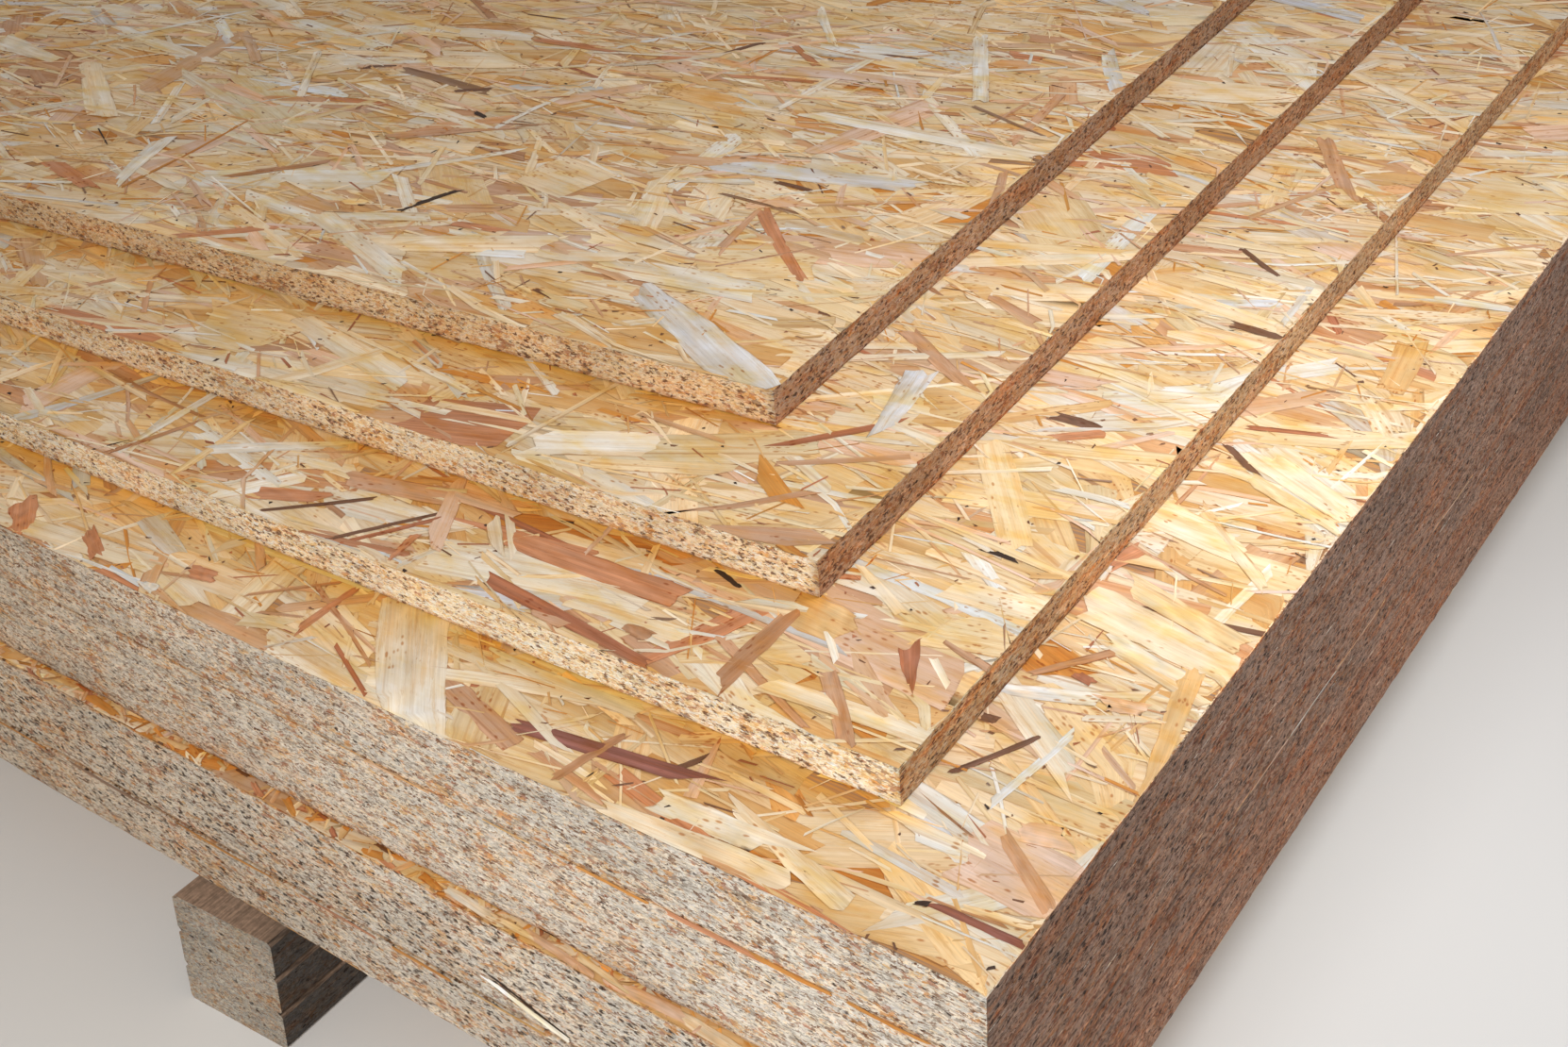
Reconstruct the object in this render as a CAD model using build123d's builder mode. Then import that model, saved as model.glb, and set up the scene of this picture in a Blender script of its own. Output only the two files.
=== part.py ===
from build123d import *
from math import cos, radians, sin, tan
import os

# Stack of oriented strand boards, lying flat on built-up bearers.
# Millimetres. X runs across the boards, Y along them and Z up. The origin is at the middle of the
# stack's box, level with the underside of the bearers.

# One board, as sold
board_length = 2500.0
board_width = 1250.0
board_thickness = 18.0

# Bearers: strips glued one on another, laid across the stack, with eased long edges
strip_thickness = 22.5
strips_per_bearer = 3
strip_edge_ease = 2.0
bearer_width = 70.0
bearer_stick_out = 12.0
bearer_count = 4
first_bearer_setback = 416.0
# The near end of a bearer is sawn through all its strips at once. The cut leans out towards the
# foot and is a little out of square, in degrees, and takes at least end_waste off.
end_cut_lean = 7.5
end_cut_skew = 3.0
end_waste = 20.0

# Boards in each book. A book's boards are sawn together, so that their edges are flush.
bottom_book_boards = 2
lower_book_boards = 3
middle_book_boards = 3
upper_book_boards = 2
# From the bottom up: the book's name, its boards, and where its near corner stands in X and Y,
# measured from the near corner of the uppermost book.
books = [
    ("bottom_book", bottom_book_boards, -9.0, 6.0),
    ("lower_book", lower_book_boards, -8.0, 5.0),
    ("middle_book", middle_book_boards, 0.0, 1.0),
    ("upper_book", upper_book_boards, 0.0, 0.0),
]

# Single boards on the books, each laid back from the one below and turned a little. From the
# bottom up: name, where its near corner stands in X and Y, and its turn in degrees.
stepped_boards = [
    ("low_step_board", 60.0, 71.0, 1.1),
    ("middle_step_board", 130.0, 154.0, 2.1),
    ("top_board", 207.0, 230.0, 3.4),
]

# Every board from the bottom up: name, X and Y of its near corner, and its turn
lay = []
for book_name, board_count, book_x, book_y in books:
    for board_number in range(1, board_count + 1):
        lay.append((f"{book_name}_board_{board_number}", book_x, book_y, 0.0))
lay += stepped_boards

# The bearers lie under the bottom board and stick out of its two long sides. The near end's cut
# runs out by end_run down to the foot, and by end_skew along the foot to its far eased edge.
bottom_x, bottom_y = lay[0][1], lay[0][2]
bearer_height = strips_per_bearer * strip_thickness
bearer_top_start = bottom_x - bearer_stick_out
bearer_finish = bottom_x + board_width + bearer_stick_out
end_run = bearer_height * tan(radians(end_cut_lean))
end_skew = (bearer_width - strip_edge_ease) * tan(radians(end_cut_skew))
bearer_foot_start = bearer_top_start - end_run - end_skew
bearer_spacing = (board_length - 2 * first_bearer_setback) / (bearer_count - 1)
bearer_middles = [
    bottom_y + first_bearer_setback + number * bearer_spacing for number in range(bearer_count)
]


def corners_of(near_x, near_y, turn):
    """The four corners of a board whose near corner is at near_x, near_y, turned by turn degrees."""
    across, along = cos(radians(turn)), sin(radians(turn))
    return [
        (near_x + w * across - d * along, near_y + w * along + d * across)
        for w in (0, board_width)
        for d in (0, board_length)
    ]


# The middle of the box round all the boards and bearers is moved to the origin
reach = [corner for _, x, y, turn in lay for corner in corners_of(x, y, turn)]
reach.append((bearer_foot_start, bearer_middles[0] - bearer_width / 2))
reach.append((bearer_finish, bearer_middles[-1] + bearer_width / 2))
middle_x = (min(x for x, _ in reach) + max(x for x, _ in reach)) / 2
middle_y = (min(y for _, y in reach) + max(y for _, y in reach)) / 2

os.makedirs("parts", exist_ok=True)

# Bearers, each strip laid on the one below. It is drawn from its square far end, longer than it
# stays, and then sawn off by the bearer's near end.
for bearer_number, bearer_middle in enumerate(bearer_middles, start=1):
    near_end = Plane(
        origin=(
            bearer_top_start - middle_x,
            bearer_middle - bearer_width / 2 - middle_y,
            bearer_height,
        ),
        z_dir=(1, tan(radians(end_cut_skew)), -tan(radians(end_cut_lean))),
    )
    for strip_number in range(1, strips_per_bearer + 1):
        strip_base = (strip_number - 1) * strip_thickness
        far_end = Plane(
            origin=(bearer_finish - middle_x, bearer_middle - middle_y, strip_base),
            x_dir=(0, -1, 0),
            z_dir=(-1, 0, 0),
        )
        with BuildPart() as strip:
            with BuildSketch(far_end) as strip_end:
                Rectangle(bearer_width, strip_thickness, align=(Align.CENTER, Align.MIN))
                chamfer(strip_end.vertices(), strip_edge_ease)
            extrude(amount=bearer_finish - bearer_foot_start + end_waste)
            split(bisect_by=near_end, keep=Keep.TOP)
        strip.part.label = f"bearer_{bearer_number}_strip_{strip_number}"
        export_step(strip.part, f"parts/{strip.part.label}.step")

# Boards, each lying flat on the one below
for level, (board_name, near_x, near_y, turn) in enumerate(lay):
    board_plane = Plane(
        origin=(near_x - middle_x, near_y - middle_y, bearer_height + level * board_thickness)
    ).rotated((0, 0, turn))
    with BuildPart() as board:
        with BuildSketch(board_plane):
            Rectangle(board_width, board_length, align=(Align.MIN, Align.MIN))
        extrude(amount=board_thickness)
    board.part.label = board_name
    export_step(board.part, f"parts/{board_name}.step")
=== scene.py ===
"""Looks of a stack of oriented strand boards that lies on built-up bearers.

Every board's pressed faces are laid with thin wood strands as real meshes, one over another, in a
shallow tray below the face's true level. Its sawn sides are rough walls whose finish shows the cut
strand ends. All sizes are metres and are worked out from the frame, except those named here.
"""

import logging
import math
from dataclasses import dataclass, field, replace
from enum import Enum

import bpy
import numpy as np
from mathutils import Matrix, Vector

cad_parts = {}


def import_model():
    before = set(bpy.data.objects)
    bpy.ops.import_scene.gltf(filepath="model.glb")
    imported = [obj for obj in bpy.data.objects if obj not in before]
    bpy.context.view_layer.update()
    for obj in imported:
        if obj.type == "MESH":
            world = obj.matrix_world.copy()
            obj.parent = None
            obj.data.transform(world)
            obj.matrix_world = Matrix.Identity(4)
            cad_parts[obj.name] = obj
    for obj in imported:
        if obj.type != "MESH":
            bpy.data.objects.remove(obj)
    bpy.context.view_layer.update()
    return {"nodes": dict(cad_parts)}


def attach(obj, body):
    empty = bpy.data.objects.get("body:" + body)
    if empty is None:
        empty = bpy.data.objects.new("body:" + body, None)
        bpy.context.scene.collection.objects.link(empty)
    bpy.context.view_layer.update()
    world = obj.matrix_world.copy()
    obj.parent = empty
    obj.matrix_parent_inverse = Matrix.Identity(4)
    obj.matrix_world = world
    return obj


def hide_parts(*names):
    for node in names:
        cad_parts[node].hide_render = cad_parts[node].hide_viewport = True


Chance = np.random.Generator
Material = bpy.types.Material
Socket = bpy.types.NodeSocket
Thing = bpy.types.Object
Pair = tuple[float, float]
Triple = tuple[float, float, float]

LOG = logging.getLogger("osb_stack")
MM = 0.001
IMAGE_WIDTH = 1662
# Names of what each point of a mesh carries
TINT = "tint"
GRAIN = "grain"
RIM = "rim"
# A distance from the rim at which nothing is darkened
NO_RIM = 1.0
# Two levels nearer than this are the same
SAME_LEVEL = MM / 10
# Faces smaller than this are left out of a mesh
LEAST_AREA = (0.05 * MM) ** 2
NO_TINT = (1.0, 1.0, 1.0)
# How far red, green and blue change where a strand is warmer than its tone, and where it yellows
WARMING = np.array([1.0, 0.0, -1.5])
YELLOWING = np.array([0.1, 0.7, 1.5])
# The darkest and the lightest that a strand's colour may be
COLOUR_RANGE = (0.01, 0.92)
# Each strand's grain starts anywhere in a square of this many metres
WOOD_REACH = 60
# The lowest board's seed; the others' follow
FIRST_SEED = 31


class Tone(Enum):
    """Colours of wood strands, as sRGB hex."""

    CREAM = "e9d5b6"
    STRAW = "e3c99e"
    HONEY = "d8b07a"
    TAN = "d1aa86"
    BLUSH = "dfbb9f"
    BONE = "e4d7c2"
    SILVER = "cbc4b8"
    ROSE = "c69a78"
    RUSSET = "a4694b"
    UMBER = "72503c"
    BARK = "3b2b24"
    AMBER = "c88a42"
    COCOA = "8f6f57"
    PEARL = "e1dace"
    MIST = "d3ccc5"
    CHALK = "f2f5fd"
    ASH = "a59a8d"
    NUT = "b08360"
    FOX = "c08560"
    PLUM = "87564a"

    @property
    def linear(self) -> Triple:
        """The tone as linear red, green and blue."""
        parts = [int(self.value[i:i + 2], 16) / 255 for i in (0, 2, 4)]
        return tuple(c / 12.92 if c <= 0.04045 else ((c + 0.055) / 1.055) ** 2.4 for c in parts)


class Face(Enum):
    """The two pressed faces of a board."""

    TOP = 1
    UNDERSIDE = -1


@dataclass(frozen=True)
class Palette:
    """A mix of tones.

    Attributes:
        shares: how often each tone comes up, in any unit
        spread: how far one strand's brightness strays from its tone
        warmth: how far one strand's colour strays from its tone
        ring_odds: the two numbers of the beta curve from which the growth rings' strength is drawn
    """

    shares: dict[Tone, float]
    spread: float = 0.07
    warmth: float = 0.03
    ring_odds: Pair = (1.2, 3.0)

    def draw(self, rng: Chance, count: int) -> np.ndarray:
        """Picks a colour for each of many strands.

        Args:
            rng: the seeded source of chance
            count: how many strands

        Returns:
            (count, 4) linear colours; the fourth number says how strongly the growth rings show.
        """
        tones = np.array([tone.linear for tone in self.shares])
        weights = np.array(list(self.shares.values()), float)
        chosen = tones[rng.choice(len(tones), count, p=weights / weights.sum())]
        bright = np.exp(rng.normal(0, self.spread, (count, 1)))
        warm = 1 + rng.normal(0, self.warmth, (count, 1)) * WARMING
        colours = np.clip(chosen * bright * warm, *COLOUR_RANGE)
        rings = rng.beta(*self.ring_odds, (count, 1))
        return np.hstack([colours, rings])


@dataclass(frozen=True)
class Spread:
    """How a size varies: a bell curve on its logarithm, cut off at both ends, in millimetres."""

    middle: float
    sigma: float
    least: float
    most: float

    def draw(self, rng: Chance, count: int) -> np.ndarray:
        """Draws count sizes in metres."""
        sizes = self.middle * np.exp(rng.normal(0, self.sigma, count))
        return np.clip(sizes, self.least, self.most) * MM


@dataclass
class Place:
    """Where a flat block lies, read from its node.

    Attributes:
        corner: its near corner, on the underside
        across: unit vector along its short side
        along: unit vector along its long side
        width: size across
        length: size along
        thickness: size upwards
    """

    corner: np.ndarray
    across: np.ndarray
    along: np.ndarray
    width: float
    length: float
    thickness: float

    @classmethod
    def of_node(cls, node: Thing) -> "Place":
        """Reads a board, which is a plain block.

        Args:
            node: the node's object in the frame

        Returns:
            Its place.
        """
        points = np.array([vertex.co for vertex in node.data.vertices])
        low, high = points[:, 2].min(), points[:, 2].max()
        base = points[np.abs(points[:, 2] - low) < SAME_LEVEL]
        corner = base[np.argmin(base[:, 0] + base[:, 1])]
        steps = base - corner
        far = steps[np.argsort(np.linalg.norm(steps, axis=1))]
        far = far[np.linalg.norm(far, axis=1) > MM]
        short_side = far[far[:, 0] > np.abs(far[:, 1])][0]
        long_side = far[far[:, 1] > np.abs(far[:, 0])][0]
        width, length = np.linalg.norm(short_side), np.linalg.norm(long_side)
        return cls(corner, short_side / width, long_side / length, width, length, high - low)

    def world(self, local: np.ndarray) -> np.ndarray:
        """Turns (..., 3) places across, along and up from the near corner into world places."""
        up = np.array([0.0, 0.0, 1.0])
        return (self.corner + local[..., :1] * self.across + local[..., 1:2] * self.along
                + local[..., 2:] * up)

    def local(self, world: np.ndarray) -> np.ndarray:
        """Turns (..., 3) world places into places across, along and up from the near corner."""
        step = world - self.corner
        return np.stack([step @ self.across, step @ self.along, step[..., 2]], -1)

    def outside(self, world: np.ndarray) -> np.ndarray:
        """How far (..., 3) world places lie outside the block's outline seen from above."""
        local = self.local(world)
        past_across = np.maximum(-local[..., 0], local[..., 0] - self.width)
        past_along = np.maximum(-local[..., 1], local[..., 1] - self.length)
        return np.maximum(past_across, past_along)

    def beside(self, world: np.ndarray) -> np.ndarray:
        """How far (..., 3) world places lie from the near long side; past its ends counts twice."""
        local = self.local(world)
        past_end = np.clip(np.maximum(-local[..., 1], local[..., 1] - self.length), 0, None)
        return np.abs(np.minimum(local[..., 0], self.width / 2)) + 2 * past_end


def mesh_object(name: str, places: np.ndarray, faces: "np.ndarray | list[tuple[int, ...]]",
                material: Material, smooth: bool = False) -> Thing:
    """Makes a mesh object and links it to the scene.

    Args:
        name: the object's name
        places: (points, 3) places in metres
        faces: (faces, 4) point numbers, or a list of faces with any number of points
        material: its finish
        smooth: whether faces are shaded as one rounded surface

    Returns:
        The object.
    """
    mesh = bpy.data.meshes.new(name)
    if isinstance(faces, list):
        mesh.from_pydata(places.tolist(), [], faces)
    else:
        mesh.vertices.add(len(places))
        mesh.vertices.foreach_set("co", places.astype(np.float32).ravel())
        mesh.loops.add(faces.size)
        mesh.loops.foreach_set("vertex_index", faces.astype(np.int32).ravel())
        mesh.polygons.add(len(faces))
        mesh.polygons.foreach_set("loop_start", np.arange(0, faces.size, 4, dtype=np.int32))
        mesh.polygons.foreach_set("loop_total", np.full(len(faces), 4, np.int32))
        mesh.update(calc_edges=True)
    mesh.polygons.foreach_set("use_smooth", np.full(len(mesh.polygons), smooth))
    mesh.materials.append(material)
    thing = bpy.data.objects.new(name, mesh)
    bpy.context.scene.collection.objects.link(thing)
    return thing


def paint_points(thing: Thing, colours: np.ndarray) -> None:
    """Gives each point of a mesh its tint, from (points, 4) linear colours."""
    layer = thing.data.color_attributes.new(TINT, "FLOAT_COLOR", "POINT")
    layer.data.foreach_set("color", colours.astype(np.float32).ravel())


def pin_points(thing: Thing, layer_name: str, pairs: np.ndarray) -> None:
    """Gives each point of a mesh a pair of numbers, kept as a UV map.

    Args:
        thing: the mesh object
        layer_name: the map's name
        pairs: (points, 2) numbers
    """
    corners = np.empty(len(thing.data.loops), np.int32)
    thing.data.loops.foreach_get("vertex_index", corners)
    layer = thing.data.uv_layers.new(name=layer_name)
    layer.data.foreach_set("uv", pairs[corners].astype(np.float32).ravel())


@dataclass
class Sheets:
    """Many small grids of quads, gathered into one mesh.

    Attributes:
        points: world places, one (count, rows, columns, 3) array a batch
        tints: (count, rows, columns, 4) colours, one array a batch
        grains: (count, rows, columns, 2) places on the wood in metres, one array a batch
        rims: (count, rows, columns, 2) distances from the strand's sides and ends, likewise
    """

    points: list[np.ndarray] = field(default_factory=list)
    tints: list[np.ndarray] = field(default_factory=list)
    grains: list[np.ndarray] = field(default_factory=list)
    rims: list[np.ndarray] = field(default_factory=list)

    def add(self, points: np.ndarray, tints: np.ndarray, grains: np.ndarray, rims: np.ndarray) -> None:
        """Adds one batch of grids that all have the same number of rows and columns."""
        self.points.append(points)
        self.tints.append(tints)
        self.grains.append(grains)
        self.rims.append(rims)

    def build(self, name: str, material: Material, smooth: bool) -> Thing:
        """Makes one mesh object of all the batches.

        Args:
            name: the piece's name
            material: its finish
            smooth: whether faces are shaded as one rounded surface

        Returns:
            The new object, linked to the scene.
        """
        quads, start = [], 0
        for points in self.points:
            count, rows, columns = points.shape[:3]
            index = start + np.arange(count * rows * columns).reshape(count, rows, columns)
            quads.append(np.stack([index[:, :-1, :-1], index[:, :-1, 1:], index[:, 1:, 1:],
                                   index[:, 1:, :-1]], -1).reshape(-1, 4))
            start += count * rows * columns
        places = np.concatenate([batch.reshape(-1, 3) for batch in self.points])
        quads = np.concatenate(quads)
        a, b, c, d = (places[quads[:, k]] for k in range(4))
        area = np.linalg.norm(np.cross(c - a, d - b), axis=1) / 2
        kept, quads = np.unique(quads[area > LEAST_AREA], return_inverse=True)
        thing = mesh_object(name, places[kept], quads.reshape(-1, 4), material, smooth)
        paint_points(thing, np.concatenate([batch.reshape(-1, 4) for batch in self.tints])[kept])
        pin_points(thing, GRAIN, np.concatenate([batch.reshape(-1, 2) for batch in self.grains])[kept])
        pin_points(thing, RIM, np.concatenate([batch.reshape(-1, 2) for batch in self.rims])[kept])
        return thing


@dataclass(frozen=True)
class Layer:
    """A layer of noise.

    Attributes:
        scale: its waves for each metre across, along and up
        shift: where it starts
        detail: how many finer waves it carries
        roughness: how strong those are
    """

    scale: Triple
    shift: Triple = (0, 0, 0)
    detail: float = 2
    roughness: float = 0.5


# On the pressed faces
FIBRES = Layer((1400, 24, 1), detail=3, roughness=0.62)
RINGS = Layer((420, 2.6, 1), (7, 3, 0), detail=1)
PORES = Layer((1500, 150, 1), detail=1)
BANDS = Layer((330, 6.5, 1), (3, 1, 0), detail=3, roughness=0.6)
WORN_STREAKS = Layer((560, 11, 1), (2, 7, 0), detail=4, roughness=0.65)
TORN_PATCHES = Layer((190, 15, 1), (5, 9, 0), detail=5, roughness=0.68)
RESIN_CLUSTERS = Layer((38, 26, 1), (2, 6, 0), detail=3)
RESIN_CELLS = (620, 260, 1)
WARM_FIELDS = Layer((11, 4.5, 1), detail=3)
BLOTCHES = Layer((88, 36, 1), (1, 4, 0), detail=3, roughness=0.6)
RAGGED_RIM = Layer((900, 90, 1), (1, 5, 0))
RIM_DARK_STRETCHES = Layer((60, 35, 1), (4, 2, 0), detail=1)
TRAY_GRAIN = Layer((900, 25, 1), detail=3)
# On the sawn sides
FLECK_CLUSTERS = Layer((45, 45, 90), detail=3)
SAW_STREAKS = Layer((420, 420, 1700), detail=3)
PRESSED_LAYERS = Layer((13, 13, 190), (6, 2, 4), detail=4, roughness=0.6)
SIDE_WAVE = Layer((35, 35, 60))
SIDE_RIPPLE = Layer((520, 520, 700), (3, 8, 2))
SIDE_DRIFT = Layer((300, 300, 900), (9, 1, 6))
SLOT_CELLS = (150, 150, 640)
BEARER_GRAIN = Layer((60, 700, 1), detail=3)


class Nodes:
    """Short ways to put shader nodes into one material."""

    def __init__(self, name: str) -> None:
        """Starts an empty material called name."""
        self.material = bpy.data.materials.new(name)
        self.material.use_nodes = True
        self.tree = self.material.node_tree
        self.tree.nodes.clear()
        self.shader = self.add("ShaderNodeBsdfPrincipled")
        output = self.add("ShaderNodeOutputMaterial")
        self.link(self.shader.outputs["BSDF"], output.inputs["Surface"])

    def add(self, kind: str, **values: object) -> bpy.types.Node:
        """Adds a node and sets the named properties on it."""
        node = self.tree.nodes.new(kind)
        for name, value in values.items():
            setattr(node, name, value)
        return node

    def link(self, output: Socket, target: Socket) -> None:
        """Joins an output to an input."""
        self.tree.links.new(output, target)

    def spot(self) -> Socket:
        """The place in the object, in metres."""
        return self.add("ShaderNodeTexCoord").outputs["Object"]

    def scaled(self, source: Socket, scale: Triple, shift: Triple = (0, 0, 0)) -> Socket:
        """Stretches a set of coordinates."""
        node = self.add("ShaderNodeMapping")
        node.inputs["Scale"].default_value = scale
        node.inputs["Location"].default_value = shift
        self.link(source, node.inputs["Vector"])
        return node.outputs["Vector"]

    def noise(self, source: Socket, scale: float = 1, detail: float = 2,
              roughness: float = 0.5) -> Socket:
        """Noise from 0 to 1 on a set of coordinates."""
        node = self.add("ShaderNodeTexNoise")
        node.inputs["Scale"].default_value = scale
        node.inputs["Detail"].default_value = detail
        node.inputs["Roughness"].default_value = roughness
        self.link(source, node.inputs["Vector"])
        return node.outputs["Fac"]

    def layer(self, source: Socket, layer: Layer) -> Socket:
        """A layer of noise from 0 to 1 on a set of coordinates in metres."""
        scaled = self.scaled(source, layer.scale, layer.shift)
        return self.noise(scaled, 1, layer.detail, layer.roughness)

    def cells(self, source: Socket) -> tuple[Socket, ...]:
        """Cells of one unit.

        Args:
            source: coordinates

        Returns:
            Three numbers from 0 to 1 that are the same all over a cell, and the distance from its
            middle.
        """
        node = self.add("ShaderNodeTexVoronoi")
        node.inputs["Scale"].default_value = 1.0
        self.link(source, node.inputs["Vector"])
        split = self.add("ShaderNodeSeparateColor")
        self.link(node.outputs["Color"], split.inputs["Color"])
        return (*(split.outputs[part] for part in ("Red", "Green", "Blue")), node.outputs["Distance"])

    def ramp(self, source: Socket, low: float, high: float, out_low: float,
             out_high: float) -> Socket:
        """Takes low..high to out_low..out_high, and holds it there outside."""
        node = self.add("ShaderNodeMapRange")
        ends = {"From Min": low, "From Max": high, "To Min": out_low, "To Max": out_high}
        for name, value in ends.items():
            node.inputs[name].default_value = value
        self.link(source, node.inputs["Value"])
        return node.outputs["Result"]

    def math(self, operation: str, a: Socket, b: "Socket | float") -> Socket:
        """One sum of two numbers."""
        node = self.add("ShaderNodeMath", operation=operation)
        self.link(a, node.inputs[0])
        if isinstance(b, (int, float)):
            node.inputs[1].default_value = b
        else:
            self.link(b, node.inputs[1])
        return node.outputs["Value"]

    def times(self, a: Socket, b: "Socket | float") -> Socket:
        """The product of two numbers."""
        return self.math("MULTIPLY", a, b)

    def mix(self, factor: "Socket | float", a: object, b: object, blend: str = "MIX") -> Socket:
        """Mixes two colours, each a socket or a linear colour."""
        node = self.add("ShaderNodeMix", data_type="RGBA", blend_type=blend)
        if isinstance(factor, (int, float)):
            node.inputs[0].default_value = factor
        else:
            self.link(factor, node.inputs[0])
        for socket, value in ((node.inputs[6], a), (node.inputs[7], b)):
            if isinstance(value, Socket):
                self.link(value, socket)
            else:
                socket.default_value = (*value, 1.0)
        return node.outputs[2]

    def toned(self, factor: "Socket | float", colour: Socket, tone: Triple) -> Socket:
        """Multiplies a colour by a tone, as far as a factor from 0 to 1 says."""
        return self.mix(factor, colour, self.mix(1.0, colour, tone, "MULTIPLY"))

    def shaded(self, colour: Socket, shade: Socket) -> Socket:
        """Darkens or lightens a colour by a number round 1."""
        grey = self.add("ShaderNodeCombineColor")
        for socket in grey.inputs:
            self.link(shade, socket)
        return self.mix(1.0, colour, grey.outputs["Color"], "MULTIPLY")

    def picked(self, number: Socket, shares: dict[Tone, float]) -> Socket:
        """Turns a number from 0 to 1 into one of several tones.

        Args:
            number: the number
            shares: how often each tone comes up

        Returns:
            The tone.
        """
        node = self.add("ShaderNodeValToRGB")
        ramp = node.color_ramp
        ramp.interpolation = "CONSTANT"
        whole, start = sum(shares.values()), 0.0
        for place, (tone, share) in enumerate(shares.items()):
            stop = ramp.elements[place] if place < 2 else ramp.elements.new(start / whole)
            stop.position = start / whole
            stop.color = (*tone.linear, 1.0)
            start += share
        self.link(number, node.inputs["Fac"])
        return node.outputs["Color"]

    def bump(self, height: Socket, distance: float, strength: float) -> None:
        """Gives the shader a relief of this height in metres."""
        node = self.add("ShaderNodeBump")
        node.inputs["Distance"].default_value = distance
        node.inputs["Strength"].default_value = strength
        self.link(height, node.inputs["Height"])
        self.link(node.outputs["Normal"], self.shader.inputs["Normal"])


@dataclass(frozen=True)
class StrandFinish:
    """Planed wood of one strand: its own tint, fine fibres along it and growth rings across it.

    Pale and warm bands run along it, thin layers are torn off it in patches, and its rim is
    darkened here and there: resin stain, with painted shade where strands meet. Amber spots of
    resin stand in clusters, and broad warm fields lie over all the strands together.

    Attributes:
        name: the material's name
        fibre: how far the fibres darken and lighten the tint
        dullness: mean roughness
        gloss: strength of the shine
        ring_tone: what the tint is multiplied by in the lines of the growth rings
        pore_tone: what it is multiplied by in the pores
        resin_tone: what it is multiplied by in the spots of resin
        rim_width: how wide the darkened line along the rim is, in metres
        rim_stain_and_shade_tone: what the tint is multiplied by there, for resin stain and painted shade
            where strands meet
        torn_tone: what it is multiplied by where a thin layer is torn off
        warm_tone: what it is multiplied by in the warm bands
        pale_tone: what it is multiplied by in the pale bands
        field_tone: what it is multiplied by in the warm fields
        worn_tone: what it is multiplied by in streaks where a dark strand is worn
        blotch_tones: what it is multiplied by in warm and in pale blotches, which run over several
            strands
    """

    name: str
    fibre: float = 0.11
    dullness: float = 0.58
    gloss: float = 0.35
    ring_tone: Triple = (0.62, 0.40, 0.24)
    pore_tone: Triple = (0.45, 0.30, 0.20)
    resin_tone: Triple = (0.62, 0.34, 0.15)
    rim_width: float = 0.8 * MM
    rim_stain_and_shade_tone: Triple = (0.62, 0.42, 0.26)
    torn_tone: Triple = (0.90, 0.78, 0.63)
    warm_tone: Triple = (0.93, 0.81, 0.68)
    pale_tone: Triple = (1.07, 1.12, 1.22)
    field_tone: Triple = (1.0, 0.965, 0.90)
    worn_tone: Triple = (1.5, 1.5, 1.5)
    blotch_tones: tuple[Triple, ...] = ((0.98, 0.85, 0.54), (1.05, 1.10, 1.22))

    def material(self) -> Material:
        """Builds the material."""
        n = Nodes(self.name)
        tint = n.add("ShaderNodeAttribute", attribute_name=TINT)
        wood = n.add("ShaderNodeUVMap", uv_map=GRAIN).outputs["UV"]
        fibres = n.layer(wood, FIBRES)
        colour = self.banded(n, tint.outputs["Color"], wood)
        lines = n.times(n.ramp(n.layer(wood, RINGS), 0.52, 0.66, 0, 0.7), tint.outputs["Alpha"])
        colour = n.toned(lines, colour, self.ring_tone)
        colour = n.toned(self.worn(n, tint.outputs["Color"], wood), colour, self.worn_tone)
        bare = n.ramp(n.layer(wood, TORN_PATCHES), 0.555, 0.585, 0, 0.65)
        colour = n.toned(bare, colour, self.torn_tone)
        colour = n.toned(n.ramp(n.layer(wood, PORES), 0.67, 0.78, 0, 0.45), colour, self.pore_tone)
        colour = n.toned(self.resin(n, wood), colour, self.resin_tone)
        # the rim's darkened line: resin stain, with painted shade where strands meet
        rim = self.rim_stain_and_shade(n, wood)
        colour = self.blotched(n, n.toned(rim, colour, self.rim_stain_and_shade_tone))
        shade = n.ramp(fibres, 0.3, 0.7, 1 - self.fibre, 1 + self.fibre * 0.7)
        n.link(n.shaded(colour, shade), n.shader.inputs["Base Color"])
        n.link(n.ramp(fibres, 0.3, 0.7, self.dullness - 0.08, self.dullness + 0.12),
               n.shader.inputs["Roughness"])
        n.shader.inputs["Specular IOR Level"].default_value = self.gloss
        relief = n.math("SUBTRACT", fibres, n.times(rim, 0.8))
        n.bump(n.math("SUBTRACT", relief, bare), 0.13 * MM, 0.6)
        return n.material

    def banded(self, n: Nodes, tint: Socket, wood: Socket) -> Socket:
        """Lays pale and warm bands along a strand.

        Args:
            n: the material's nodes
            tint: the strand's tint
            wood: the place on the wood

        Returns:
            The colour.
        """
        bands = n.layer(wood, BANDS)
        colour = n.toned(n.ramp(bands, 0.52, 0.66, 0, 0.5), tint, self.pale_tone)
        return n.toned(n.ramp(bands, 0.34, 0.48, 0.6, 0), colour, self.warm_tone)

    def worn(self, n: Nodes, tint: Socket, wood: Socket) -> Socket:
        """How strongly streaks of wear show, which they do on dark strands.

        Args:
            n: the material's nodes
            tint: the strand's tint
            wood: the place on the wood

        Returns:
            A number from 0 to 1.
        """
        split = n.add("ShaderNodeSeparateColor")
        n.link(tint, split.inputs["Color"])
        streaks = n.ramp(n.layer(wood, WORN_STREAKS), 0.48, 0.62, 0, 0.7)
        return n.times(streaks, n.ramp(split.outputs["Green"], 0.12, 0.4, 1, 0))

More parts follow.
